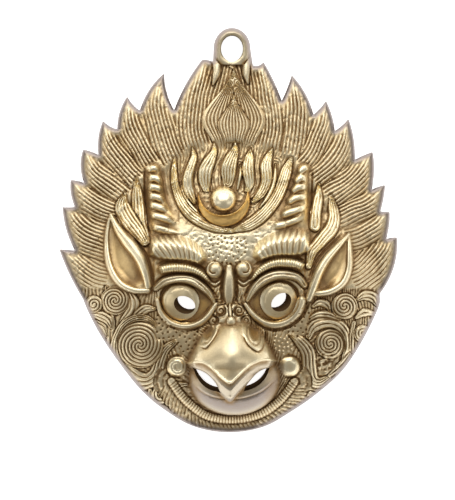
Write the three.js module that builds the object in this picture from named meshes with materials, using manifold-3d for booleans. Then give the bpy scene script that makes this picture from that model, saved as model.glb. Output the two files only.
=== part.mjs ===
// A small brass mask of a bird-faced guardian with a crown of flames, cast in one
// with the ring that it hangs by. Millimetres, lying on its flat back rim: +Z leaves
// the face and +Y points to the ring.
import * as THREE from "three";
import { mergeVertices } from "three/addons/utils/BufferGeometryUtils.js";
import Module from "manifold-3d";

const wasm = await Module();
wasm.setup();

// Driving sizes of the casting.
const FRONT_CELL = 0.9;
const HOLLOW_RINGS = 9;
const HOLLOW_SPOKES = 40;
const EDGE_HEIGHT = 2.5;
const STOCK_TOP = 22;
const HEAD_BLEND = 1.5;
const SAME_PLACE = 1e-4;
const HALF_SPAN_X = 28.5;
const SPAN_Y = [-33.5, 33.5];

// The head is half an egg. Its cheeks and chin run down to the rim.
const HEAD = { x: 0.5, y: -9, halfWidth: 24.6, up: 21, down: 23.5, height: 11, full: 2.4, round: 0.55 };
// The crown is a shallow slope that sinks from the head to the flame tips.
const CROWN = { x: 0, y: -4, halfWidth: 28, up: 31.5, edge: 2.6, slope: 8.6 };
// The hollow behind the face, with the deeper pocket behind the beak.
const HOLLOW = { x: 0.5, y: -9, halfWidth: 22, up: 20.5, down: 21.2, height: 8.1, full: 2.6, round: 0.5 };
const BEAK_POCKET = { x: 0.4, y: -19.5, radius: 4.2, height: 4.2 };

// Flames of the crown, from the ring down. A tongue has its tip, the valley under
// it, and how far its upper and its lower edge bow outwards.
const FLAMES_LEFT = [
  { tip: [-4.3, 27.3], valley: [-8.8, 19.1], bows: [0.1, 0.4], root: [-5.5, 12] },
  { tip: [-10.4, 25.1], valley: [-14.3, 19.1], bows: [-0.4, 0.55], root: [-9.5, 12] },
  { tip: [-16.3, 21.4], valley: [-17.9, 16.1], bows: [-0.2, 0.45], root: [-13.5, 10.5] },
  { tip: [-20.2, 17.5], valley: [-20.9, 12.0], bows: [-0.2, 0.4], root: [-15, 7] },
  { tip: [-23.4, 12.9], valley: [-23.2, 7.5], bows: [0.1, 0.5], root: [-17, 4] },
  { tip: [-25.4, 8.0], valley: [-24.7, 3.7], bows: [0.1, 0.3], root: [-19, 1] },
  { tip: [-26.7, 3.7], valley: [-24.7, -3.3], bows: [-0.1, 0.4], root: [-20.5, -2.5] },
  { tip: [-27.2, -3.1], valley: [-23.4, -11.0], bows: [0, 0.25], root: [-20.5, -7] },
];
const FLAMES_RIGHT = [
  { tip: [5.5, 26.9], valley: [8.4, 20.6], bows: [-0.3, 0.2], root: [6, 12.5] },
  { tip: [10.0, 24.8], valley: [13.5, 18.4], bows: [-0.1, 0.5], root: [9.5, 12] },
  { tip: [15.5, 20.7], valley: [16.9, 15.8], bows: [-0.1, 0.25], root: [13, 10.5] },
  { tip: [19.1, 17.8], valley: [20.1, 11.2], bows: [-0.1, 0.35], root: [15, 7.5] },
  { tip: [23.0, 12.5], valley: [22.8, 6.4], bows: [0.1, 0.3], root: [17, 4] },
  { tip: [25.0, 7.2], valley: [24.2, 2.9], bows: [0.1, 0.1], root: [19, 1] },
  { tip: [25.7, 2.9], valley: [25.1, -1.5], bows: [0, 0.2], root: [20, -1.5] },
  { tip: [26.9, -1.2], valley: [24.1, -10.2], bows: [0.1, 0.9], root: [20.5, -6] },
];
const TONGUE = { rise: 1.0, halfRoot: 3.0, tipWidth: 0.02, fadeIn: 0.25 };

// The middle flame, which frames a lotus bud and climbs to the ring.
const BUD = {
  x: 0.6, bottom: 13.2, top: 26.6, halfWidth: 4.2, rise: 1.1, step: 1.9, lift: 0.55, waist: 0.6, round: 0.8,
};

// Cheeks and chin between the lowest flames, as a smooth line.
const CHEEK_LINE = [
  [-22.5, -13.2], [-20.7, -16.6], [-17.9, -20.8], [-14, -25.7], [-10, -29], [-5.5, -31.5], [0, -32.4],
  [5.5, -31.5], [10, -29], [14, -26.2], [18, -22.6], [21.2, -17.9], [23.9, -12.4],
];

// The ring that the mask hangs by.
const RING = {
  x: 0.45, y: 29.1, outerX: 2.95, outerY: 3.25, holeX: 1.75, holeY: 2.1, holeDrop: 0.1,
  feet: [[3.8, 26.3], [-2.6, 26.9]],
};

// Second row of flames, the wavy tongues round the jewel: tip, belly and foot.
const CURL_FLAMES = [
  [[-8.6, 11.4], [-8.8, 7.5], [-4.2, 1.4]],
  [[-5.8, 12.8], [-6.5, 7.5], [-4.9, 4.3]],
  [[-2.3, 13.7], [-4.3, 9.5], [-3.8, 6.8]],
  [[1.1, 13.8], [0, 10.5], [0.1, 7.6]],
  [[3.6, 12.7], [3.5, 9.5], [2.5, 6.4]],
  [[6.9, 12.9], [5.9, 8.5], [3.9, 4.8]],
  [[9.8, 11.5], [8.4, 7], [4.2, 1.6]],
];
const CURL_FLAME = { half: 1.15, rise: 1.1, tipShare: 0.2 };

const JEWEL = {
  x: -0.9, y: 4.9, radius: 2.1, rise: 2.0, moonRadius: 3.3, moonHalf: 0.9, moonRise: 0.9, moonHorns: 1.5,
};

// Horns: a stout ribbed cone on each side of the forehead, base to tip.
const HORNS = [
  { base: [-10.3, -0.6], tip: [-12.0, 9.8], halfBase: 2.7, halfTip: 1.0 },
  { base: [9.8, 1.2], tip: [11.8, 9.9], halfBase: 2.6, halfTip: 1.0 },
];
const HORN = { rise: 2.2, tipShare: 0.55, ribPitch: 1.5, ribDepth: 0.3 };

// Locks of hair beside the horns, root to tip.
const LOCKS = [
  [[-13.8, -0.8], [-14.3, 4], [-14.8, 8.2], 1.1],
  [[-14.4, -1.2], [-16.4, 1.5], [-16.6, 5.8], 1.3],
  [[12.9, 0.6], [14.4, 3], [14.2, 7.2], 1.0],
  [[13.4, -3.6], [15.8, 0], [16.4, 5.4], 1.2],
];
const LOCK = { rise: 1.3, tipWidth: 0.05 };

// Ears: tip, the root at the cheek, and the rim that stands round the bowl.
const EARS = [
  { ridge: [[-18.9, 2.4], [-15.2, -3.0], [-12.8, -8.6]], rim: [[-18.9, 2.4], [-19.8, -4.5], [-12.8, -9.9]] },
  { ridge: [[19.1, -0.7], [15.4, -4.4], [13.3, -9.4]], rim: [[19.1, -0.7], [19.6, -8.4], [13.6, -10.2]] },
];
const EAR = { rise: 2.1, half: 1.0, rimShare: 0.75 };

// Brows, as a thick arch and the lash band under it: outer end, crown, inner end.
const BROWS = [
  {
    arch: [[-12.6, -3.2], [-8.3, -2.4], [-4.2, -4.9]],
    lash: [[-11.6, -6.9], [-7.9, -5.2], [-3.2, -8.3]],
    knob: [-2.3, -6.5],
  },
  {
    arch: [[12.4, -2.4], [8.0, -1.9], [4.6, -3.8]],
    lash: [[12.0, -6.3], [8.2, -4.5], [3.6, -7.4]],
    knob: [2.3, -6.4],
  },
];
const BROW = { archRise: 1.9, archHalf: 1.9, lashRise: 1.5, lashHalf: 1.1, knobRise: 1.2, knobRadius: 1.5 };

// Eyes: a bulging disc in a socket between two lids, with a hole that leans with the wall.
const EYES = [
  { x: -7.5, y: -11.6, hole: [-6.95, -11.75], lean: [-0.24, -0.32], turn: -0.35 },
  { x: 7.9, y: -11.3, hole: [8.05, -11.35], lean: [0.36, -0.28], turn: 0.5 },
];
const EYE = {
  radius: 2.9, socketX: 4.4, socketY: 3.4, socketWall: 0.33, sink: 1.4, bulge: 1.1, holeX: 1.75, holeY: 1.42,
  lidRise: 1.1, lidPlace: 1.02, lidWidth: 0.2,
};

// Nose bar between the eyes. It widens and rises towards the beak and fades out at both ends.
const NOSE = { x: 0, top: -6.2, bottom: -14.8, half: 1.1, rise: 1.6, fadeTop: 0.8, fadeBottom: 1.25 };

// Upper beak: its ridge, its flanks and the bow of its cutting edge.
const BEAK = {
  x: 0.35, top: -14.6, tip: -24.5, peak: 17.3, shoulder: 14.2, wing: -21.1, notch: 2.3,
  halfTop: 4.2, halfLow: 7.2, drop: 5.2, flare: 1.6, edgeWidth: 2.4, brow: 3, bendRate: 0.82, bendEnd: 0.62,
};
const CHIN = {
  x: 0.8, y: -22.4, halfWidth: 7.7, up: 4, down: 7.2, height: 6.2, full: 3, round: 0.6, foot: 6.4,
};
const MOUTH_BLEND = { chin: 0.4, beak: 0.5 };
const MOUTH_KNOBS = [[9.8, -21.8], [-8.3, -21.8]];
const MOUTH_KNOB = { radius: 1.9, rise: 1.2 };

// Mouth slits: corner, crown of the upper edge, inner corner, crown of the lower edge.
const MOUTH_HOLES = [
  { corners: [[-6.0, -22.1], [-2.1, -22.2], [-1.2, -25.8], [-4.7, -26.1]], lean: [-0.07, -0.09] },
  { corners: [[6.6, -22.0], [3.7, -21.9], [2.3, -25.7], [5.8, -25.2]], lean: [0.08, -0.08] },
];
const HOLE_LEVEL = { eye: 9.6, mouth: 11.6 };

// Curls of the beard: centre, radius, turns and the way that they wind.
const CURLS = [
  { x: -14.3, y: -18.3, radius: 4.4, turns: 2.0, start: 1.2, wind: 1 },
  { x: -18.4, y: -11.6, radius: 2.3, turns: 1.2, start: 0.4, wind: 1 },
  { x: -10.8, y: -25.4, radius: 2.0, turns: 1.1, start: 2.6, wind: -1 },
  { x: 16.4, y: -18.3, radius: 3.4, turns: 1.6, start: 2.2, wind: -1 },
  { x: 18.6, y: -12.2, radius: 2.5, turns: 1.3, start: 2.7, wind: -1 },
  { x: 12.6, y: -24.0, radius: 2.2, turns: 1.1, start: 0.6, wind: 1 },
];
const CURL = { rise: 0.7, half: 0.82, fade: 0.9 };

// Height and reach tools.
const clamp01 = (v) => THREE.MathUtils.clamp(v, 0, 1);
const ease = (v) => THREE.MathUtils.smoothstep(v, 0, 1);
const hump = (v) => Math.max(0, 1 - v * v);
const softMax = (a, b, width) => {
  const mix = clamp01(0.5 + (a - b) / (2 * width));
  return b + (a - b) * mix + width * mix * (1 - mix) * 0.5;
};

// A bent line through three points, with the nearest place on it as distance and share of length.
function bentLine(points) {
  const curve = new THREE.SplineCurve(points.map(([x, y]) => new THREE.Vector2(x, y)));
  const marks = curve.getSpacedPoints(24);
  return (x, y) => {
    let best = { distance: Infinity, along: 0 };
    for (let i = 1; i < marks.length; i += 1) {
      const from = marks[i - 1];
      const dx = marks[i].x - from.x;
      const dy = marks[i].y - from.y;
      const t = clamp01(((x - from.x) * dx + (y - from.y) * dy) / (dx * dx + dy * dy));
      const distance = Math.hypot(x - from.x - t * dx, y - from.y - t * dy);
      if (distance < best.distance) best = { distance, along: (i - 1 + t) / (marks.length - 1) };
    }
    return best;
  };
}

// A dome over an egg-shaped plan, zero outside it.
function eggDome(egg, x, y) {
  const reach = y > egg.y ? egg.up : egg.down;
  const radial = Math.hypot((x - egg.x) / egg.halfWidth, (y - egg.y) / reach);
  return egg.height * Math.pow(Math.max(0, 1 - Math.pow(radial, egg.full)), egg.round);
}

function crownSlope(x, y) {
  const radial = Math.hypot((x - CROWN.x) / CROWN.halfWidth, (y - CROWN.y) / CROWN.up);
  return CROWN.edge + CROWN.slope * Math.max(0, 1 - radial);
}

// The bare form under the ornament.
const bareForm = (x, y) => Math.max(EDGE_HEIGHT, softMax(crownSlope(x, y), eggDome(HEAD, x, y), HEAD_BLEND));

// Crown tongues: each is a long leaf from its root on the head to its tip.
const tongues = [...FLAMES_LEFT, ...FLAMES_RIGHT].map(({ tip, root }) => bentLine([root, tip]));
function tongueRise(x, y) {
  let rise = 0;
  for (const tongue of tongues) {
    const { distance, along } = tongue(x, y);
    const half = TONGUE.halfRoot * Math.sqrt(1 + TONGUE.tipWidth - along);
    rise = Math.max(rise, hump(distance / half) * TONGUE.rise * ease(along / TONGUE.fadeIn));
  }
  return rise;
}

// Lotus bud: pointed leaves, one inside the other.
function budRise(x, y) {
  const up = (y - BUD.bottom) / (BUD.top - BUD.bottom);
  if (up < 0 || up > 1) return 0;
  const leaf = BUD.halfWidth * Math.sin(Math.PI * Math.pow(up, BUD.waist)) ** BUD.round;
  const inside = leaf - Math.abs(x - BUD.x);
  if (inside < 0) return 0;
  const wave = BUD.lift - (1 - BUD.lift) * Math.cos((inside / BUD.step) * 2 * Math.PI);
  return BUD.rise * wave * ease(inside);
}

const curlFlames = CURL_FLAMES.map(bentLine);
const curlFlameRise = (x, y) => Math.max(...curlFlames.map((flame) => {
  const { distance, along } = flame(x, y);
  const half = CURL_FLAME.half * Math.sqrt(THREE.MathUtils.lerp(CURL_FLAME.tipShare, 1, along));
  return CURL_FLAME.rise * hump(distance / half);
}));

// Jewel: a ball that sits in a crescent.
function jewelRise(x, y) {
  const away = Math.hypot(x - JEWEL.x, y - JEWEL.y);
  const below = clamp01((JEWEL.y + JEWEL.moonHorns - y) / JEWEL.moonHorns);
  const moon = JEWEL.moonRise * hump((away - JEWEL.moonRadius) / JEWEL.moonHalf) * below;
  return Math.max(JEWEL.rise * hump(away / JEWEL.radius), moon);
}

const horns = HORNS.map(({ base, tip, halfBase, halfTip }) => ({
  near: bentLine([base, tip]), length: Math.hypot(tip[0] - base[0], tip[1] - base[1]), halfBase, halfTip,
}));
function hornRise(x, y) {
  let rise = 0;
  for (const horn of horns) {
    const { distance, along } = horn.near(x, y);
    const half = THREE.MathUtils.lerp(horn.halfBase, horn.halfTip, along);
    const stout = THREE.MathUtils.lerp(HORN.tipShare, 1, half / horn.halfBase);
    const rib = HORN.ribDepth * Math.cos((along * horn.length * 2 * Math.PI) / HORN.ribPitch);
    rise = Math.max(rise, hump(distance / half) * (HORN.rise * stout + rib));
  }
  return rise;
}

const locks = LOCKS.map(([root, belly, tip, half]) => ({ near: bentLine([root, belly, tip]), half }));
const lockRise = (x, y) => Math.max(...locks.map(({ near, half }) => {
  const { distance, along } = near(x, y);
  return LOCK.rise * hump(distance / (half * Math.sqrt(1 + LOCK.tipWidth - along * along)));
}));

// Ears: a front ridge and a lower rim that meet at the tip, with the bowl between them.
const ears = EARS.map(({ ridge, rim }) => ({ ridge: bentLine(ridge), rim: bentLine(rim) }));
function earRise(x, y) {
  let rise = 0;
  for (const ear of ears) {
    const ridge = ear.ridge(x, y);
    const rim = ear.rim(x, y);
    const behind = EAR.rimShare * hump(rim.distance / EAR.half);
    rise = Math.max(rise, EAR.rise * Math.max(hump(ridge.distance / EAR.half), behind));
  }
  return rise;
}

const brows = BROWS.map(({ arch, lash, knob }) => ({ arch: bentLine(arch), lash: bentLine(lash), knob }));
function browRise(x, y) {
  let rise = 0;
  for (const brow of brows) {
    const [kx, ky] = brow.knob;
    rise = Math.max(
      rise,
      BROW.archRise * hump(brow.arch(x, y).distance / BROW.archHalf),
      BROW.lashRise * hump(brow.lash(x, y).distance / BROW.lashHalf),
      BROW.knobRise * hump(Math.hypot(x - kx, y - ky) / BROW.knobRadius),
    );
  }
  return rise;
}

// Eyes: the socket sinks, the lids stand round it and the disc swells inside.
function eyeShape(x, y) {
  let shape = 0;
  for (const eye of EYES) {
    const around = Math.hypot((x - eye.x) / EYE.socketX, (y - eye.y) / EYE.socketY);
    const disc = Math.hypot(x - eye.x, y - eye.y) / EYE.radius;
    shape += EYE.lidRise * hump((around - EYE.lidPlace) / EYE.lidWidth);
    shape -= EYE.sink * ease((EYE.lidPlace - around) / EYE.socketWall);
    shape += EYE.bulge * hump(disc);
  }
  return shape;
}

function noseRise(x, y) {
  const along = clamp01((NOSE.top - y) / (NOSE.top - NOSE.bottom));
  const inside = ease((NOSE.top - y) / NOSE.fadeTop + 1) * ease((y - NOSE.bottom) / NOSE.fadeBottom + 2);
  return (NOSE.rise + along) * hump((x - NOSE.x) / (NOSE.half + along)) * inside;
}

// Upper beak, as its own height. It ends at the bowed edge over the mouth.
const beakEdge = (x) => BEAK.wing + (BEAK.tip - BEAK.wing) * Math.exp(-(((x - BEAK.x) / BEAK.notch) ** 2));
function beakHeight(x, y) {
  const along = clamp01((BEAK.top - y) / (BEAK.top - BEAK.tip));
  const half = THREE.MathUtils.lerp(BEAK.halfTop, BEAK.halfLow, Math.sqrt(along));
  const bend = Math.sin(Math.PI * Math.min(BEAK.bendEnd, BEAK.bendRate * along));
  const ridge = THREE.MathUtils.lerp(BEAK.shoulder, BEAK.peak, bend);
  const flank = ridge - BEAK.drop * Math.pow(Math.abs(x - BEAK.x) / half, BEAK.flare);
  const cut = BEAK.peak * ease((beakEdge(x) - y) / BEAK.edgeWidth + 0.1);
  const start = BEAK.peak * ease((y - BEAK.top) / BEAK.brow + 0.15);
  return flank - cut - start;
}

// Lower beak and lips swell out of the cheeks, and the upper beak hooks over them.
function mouthForm(x, y, ground) {
  const swell = eggDome(CHIN, x, y);
  const chin = swell > 0 ? CHIN.foot + swell : 0;
  return softMax(softMax(ground, chin, MOUTH_BLEND.chin), beakHeight(x, y), MOUTH_BLEND.beak);
}

// Curls: a flat spiral ridge on a low boss.
function curlRise(x, y) {
  let rise = 0;
  for (const curl of CURLS) {
    const away = Math.hypot(x - curl.x, y - curl.y);
    if (away > curl.radius + 1) continue;
    const angle = Math.atan2(y - curl.y, x - curl.x) * curl.wind - curl.start;
    const pitch = curl.radius / curl.turns;
    const phase = away / pitch - angle / (2 * Math.PI);
    const band = (phase - Math.round(phase)) * pitch;
    const fade = ease((curl.radius - away) / CURL.fade + CURL.half);
    rise = Math.max(rise, CURL.rise * hump(band / CURL.half) * fade);
  }
  return rise;
}

const knobRise = (x, y) => Math.max(...MOUTH_KNOBS.map(([kx, ky]) => (
  MOUTH_KNOB.rise * hump(Math.hypot(x - kx, y - ky) / MOUTH_KNOB.radius)
)));

// The whole front, from the flames to the chin.
function front(x, y) {
  const form = bareForm(x, y);
  const ornament = Math.max(
    tongueRise(x, y), budRise(x, y), curlFlameRise(x, y), jewelRise(x, y), hornRise(x, y),
    lockRise(x, y), earRise(x, y), browRise(x, y), noseRise(x, y), curlRise(x, y), knobRise(x, y),
  );
  return mouthForm(x, y, form + ornament + eyeShape(x, y));
}

// The outline, walked counter-clockwise from the ring.
const edgeTo = (path, [x, y], bow) => {
  const from = path.currentPoint;
  const middle = new THREE.Vector2((from.x + x) / 2, (from.y + y) / 2);
  const outward = new THREE.Vector2(y - from.y, from.x - x).normalize().multiplyScalar(2 * bow);
  path.quadraticCurveTo(middle.x + outward.x, middle.y + outward.y, x, y);
};
function outlineShape() {
  const shape = new THREE.Shape();
  shape.moveTo(...RING.feet[0]);
  shape.absellipse(RING.x, RING.y, RING.outerX, RING.outerY, 0, Math.PI, false);
  shape.lineTo(...RING.feet[1]);
  for (const { tip, valley, bows } of FLAMES_LEFT) {
    edgeTo(shape, tip, bows[0]);
    edgeTo(shape, valley, bows[1]);
  }
  shape.splineThru(CHEEK_LINE.map(([x, y]) => new THREE.Vector2(x, y)));
  for (const [index, { tip, valley, bows }] of [...FLAMES_RIGHT.entries()].reverse()) {
    edgeTo(shape, valley, 0);
    edgeTo(shape, tip, bows[1]);
    const above = index > 0 ? FLAMES_RIGHT[index - 1].valley : RING.feet[0];
    edgeTo(shape, above, bows[0]);
  }
  return shape;
}

// Solids, joined and cut as closed shells.
function toSolid(geometry) {
  const bare = geometry.clone();
  bare.deleteAttribute("normal");
  bare.deleteAttribute("uv");
  const merged = mergeVertices(bare, SAME_PLACE);
  return new wasm.Manifold(new wasm.Mesh({
    numProp: 3,
    vertProperties: new Float32Array(merged.attributes.position.array),
    triVerts: new Uint32Array(merged.index.array),
  }));
}

// A block with a flat bottom whose top follows the front.
function reliefBlock() {
  const columns = Math.round((2 * HALF_SPAN_X) / FRONT_CELL);
  const rows = Math.round((SPAN_Y[1] - SPAN_Y[0]) / FRONT_CELL);
  const block = new THREE.BoxGeometry(2 * HALF_SPAN_X, SPAN_Y[1] - SPAN_Y[0], 2, columns, rows, 1);
  block.translate(0, (SPAN_Y[0] + SPAN_Y[1]) / 2, 0);
  const place = block.attributes.position;
  for (let i = 0; i < place.count; i += 1) {
    place.setZ(i, place.getZ(i) > 0 ? front(place.getX(i), place.getY(i)) : 0);
  }
  return toSolid(block);
}

// The hollow: a turned dome, stretched to the egg plan, with the pocket raised in its top.
function hollowSolid() {
  const profile = [new THREE.Vector2(0, -2), new THREE.Vector2(1, -2)];
  for (let ring = 0; ring <= HOLLOW_RINGS; ring += 1) {
    profile.push(new THREE.Vector2(Math.cos((ring / HOLLOW_RINGS) * Math.PI / 2), 0));
  }
  profile[profile.length - 1].x = 0;
  const dome = new THREE.LatheGeometry(profile, HOLLOW_SPOKES).rotateX(Math.PI / 2);
  const place = dome.attributes.position;
  for (let i = 0; i < place.count; i += 1) {
    const x = HOLLOW.x + place.getX(i) * HOLLOW.halfWidth;
    const y = HOLLOW.y + place.getY(i) * (place.getY(i) > 0 ? HOLLOW.up : HOLLOW.down);
    const pocket = Math.hypot(x - BEAK_POCKET.x, y - BEAK_POCKET.y) / BEAK_POCKET.radius;
    const roof = eggDome(HOLLOW, x, y) + BEAK_POCKET.height * Math.exp(-pocket * pocket);
    place.setXYZ(i, x, y, place.getZ(i) < -1 ? place.getZ(i) : roof);
  }
  return toSolid(dome);
}

// A hole that leans with the wall, right at its measured place at the given level.
function leaningHole(shape, lean, level) {
  const options = { depth: STOCK_TOP, bevelEnabled: false, curveSegments: 6 };
  const geometry = new THREE.ExtrudeGeometry(shape, options).translate(0, 0, -1);
  const shear = new THREE.Matrix4().set(
    1, 0, lean[0], -lean[0] * level, 0, 1, lean[1], -lean[1] * level, 0, 0, 1, 0, 0, 0, 0, 1,
  );
  return toSolid(geometry.applyMatrix4(shear));
}
const eyeHole = ({ hole, turn }) => new THREE.Shape().absellipse(
  hole[0], hole[1], EYE.holeX, EYE.holeY, 0, 2 * Math.PI, false, turn,
);
function slit(corners) {
  const [outer, upper, inner, lower] = corners;
  const shape = new THREE.Shape().moveTo(...outer);
  shape.quadraticCurveTo(...upper, ...inner);
  shape.quadraticCurveTo(...lower, ...outer);
  return shape;
}
const ringHole = () => new THREE.Shape().absellipse(
  RING.x, RING.y - RING.holeDrop, RING.holeX, RING.holeY, 0, 2 * Math.PI, false,
);

function maskGeometry() {
  const outline = outlineShape();
  const options = { depth: STOCK_TOP, bevelEnabled: false, curveSegments: 4 };
  const plan = new THREE.ExtrudeGeometry(outline, options);
  const stock = toSolid(plan);
  let body = stock.intersect(reliefBlock()).subtract(hollowSolid());
  for (const eye of EYES) body = body.subtract(leaningHole(eyeHole(eye), eye.lean, HOLE_LEVEL.eye));
  for (const mouth of MOUTH_HOLES) {
    body = body.subtract(leaningHole(slit(mouth.corners), mouth.lean, HOLE_LEVEL.mouth));
  }
  body = body.subtract(leaningHole(ringHole(), [0, 0], 0));
  const shell = body.getMesh();
  const geometry = new THREE.BufferGeometry();
  geometry.setAttribute("position", new THREE.BufferAttribute(shell.vertProperties, 3));
  geometry.setIndex(new THREE.BufferAttribute(shell.triVerts, 1));
  geometry.computeBoundingBox();
  const middle = geometry.boundingBox.getCenter(new THREE.Vector3());
  return geometry.translate(-middle.x, -middle.y, 0);
}

const brass = new THREE.MeshStandardMaterial({ color: 0xb9a574, roughness: 0.34, metalness: 1 });
const mask = new THREE.Mesh(maskGeometry(), brass);
mask.name = "mask";

const part = new THREE.Group();
part.add(mask);
export default part;
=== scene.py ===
"""A small brass mask of a bird-faced guardian with a crown of flames, lying on its back.

The casting is one piece. Its front is a fine sheet whose heights come from the carver's
strokes below: bands, ridges, grooves and pits, each with its place and size in
millimetres on the front view. The sheet is trimmed to the outline, walled down to the
back, hollowed and pierced.
"""
import math

import bpy
import numpy as np
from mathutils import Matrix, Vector


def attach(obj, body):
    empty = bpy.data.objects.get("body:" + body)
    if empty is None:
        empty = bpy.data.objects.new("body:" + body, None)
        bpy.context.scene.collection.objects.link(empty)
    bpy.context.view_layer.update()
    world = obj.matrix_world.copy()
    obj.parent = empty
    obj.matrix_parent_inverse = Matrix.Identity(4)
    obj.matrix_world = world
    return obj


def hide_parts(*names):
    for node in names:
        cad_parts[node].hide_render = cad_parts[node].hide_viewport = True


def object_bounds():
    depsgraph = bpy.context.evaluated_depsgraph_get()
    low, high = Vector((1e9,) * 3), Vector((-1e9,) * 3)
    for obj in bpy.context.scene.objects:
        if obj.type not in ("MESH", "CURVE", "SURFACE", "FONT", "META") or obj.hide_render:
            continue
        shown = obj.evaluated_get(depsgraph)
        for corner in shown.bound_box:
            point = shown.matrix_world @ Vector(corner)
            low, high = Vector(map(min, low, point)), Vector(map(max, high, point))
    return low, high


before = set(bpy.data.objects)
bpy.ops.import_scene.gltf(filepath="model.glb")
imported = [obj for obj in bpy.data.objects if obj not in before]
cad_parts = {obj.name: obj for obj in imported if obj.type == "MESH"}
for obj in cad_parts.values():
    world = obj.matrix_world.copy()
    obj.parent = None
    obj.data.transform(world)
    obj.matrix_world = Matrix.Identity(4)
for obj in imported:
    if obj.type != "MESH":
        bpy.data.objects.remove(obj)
cad_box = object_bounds()

MM = 0.001

# The height sheet: fineness, half sizes, seed of its noise, and the most faces that its mesh keeps.
SAMPLE = 0.09
HALF_X = 28.26
HALF_Y = 33.48
SEED = 7
FACES_KEPT = 186000

# The bare form: an egg-shaped head on a shallow crown.
HEAD = dict(x=0.5, y=-9, half=24.6, up=21, down=23.5, height=11, full=2.4, round=0.55)
CROWN = dict(x=0, y=-4, half=28, up=31.5, edge=2.6, slope=8.6)
HOLLOW = dict(x=0.5, y=-9, half=22, up=20.5, down=21.2, height=8.1, full=2.6, round=0.5)
BEAK_POCKET = dict(x=0.4, y=-19.5, radius=4.2, height=4.2)
EDGE_HEIGHT = 2.5
EDGE_ROUND = 0.75
WALL_LEVELS = (1.2, 0.35, 0.0)

# Crown flames from the ring down: tip, valley below it, outward bow of both edges,
# and the middle line and half widths of the tongue on the crown.
FLAMES_LEFT = [
    dict(tip=(-4.3, 27.3), valley=(-8.8, 19.1), bows=(0.1, 0.4),
         line=[(-5.4, 12.6), (-6.3, 16), (-6.1, 19.5), (-5.3, 23.5), (-4.4, 27.2)],
         half=[1.9, 2.4, 2.4, 1.7, 0.5]),
    dict(tip=(-10.4, 25.1), valley=(-14.3, 19.1), bows=(-0.4, 0.55),
         line=[(-8.9, 10.6), (-10.3, 14), (-11.3, 17.5), (-11.8, 20.5), (-11.4, 23), (-10.5, 25)],
         half=[1.9, 2.4, 2.7, 2.0, 1.4, 0.5]),
    dict(tip=(-16.3, 21.4), valley=(-17.9, 16.1), bows=(-0.2, 0.45),
         line=[(-12.3, 10.3), (-14.0, 13.2), (-15.5, 16.2), (-16.2, 18.8), (-16.3, 21.3)],
         half=[2.0, 2.0, 2.0, 1.4, 0.5]),
    dict(tip=(-20.2, 17.5), valley=(-20.9, 12.0), bows=(-0.2, 0.4),
         line=[(-14.6, 7.9), (-17.1, 10.6), (-18.9, 13), (-19.9, 15.2), (-20.2, 17.4)],
         half=[1.8, 1.9, 1.8, 1.3, 0.4]),
    dict(tip=(-23.4, 12.9), valley=(-23.2, 7.5), bows=(0.1, 0.5),
         line=[(-16.3, 5.2), (-18.9, 7.0), (-21.2, 8.8), (-22.7, 10.8), (-23.3, 12.8)],
         half=[1.8, 1.9, 1.9, 1.3, 0.4]),
    dict(tip=(-25.4, 8.0), valley=(-24.7, 3.7), bows=(0.1, 0.3),
         line=[(-17.6, 2.6), (-20.3, 3.6), (-22.7, 4.9), (-24.5, 6.5), (-25.3, 7.9)],
         half=[1.7, 1.8, 1.8, 1.2, 0.4]),
    dict(tip=(-26.7, 3.7), valley=(-24.7, -3.3), bows=(-0.1, 0.4),
         line=[(-18.5, -2.6), (-21.3, -1.8), (-23.8, -0.4), (-25.7, 1.6), (-26.6, 3.6)],
         half=[2.6, 2.8, 2.6, 1.8, 0.5]),
    dict(tip=(-27.2, -3.1), valley=(-23.4, -11.0), bows=(0, 0.25),
         line=[(-19.4, -8.6), (-21.4, -8.2), (-23.6, -7.0), (-25.8, -5.0), (-27.0, -3.3)],
         half=[3.0, 3.2, 2.9, 2.0, 0.5]),
]
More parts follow.
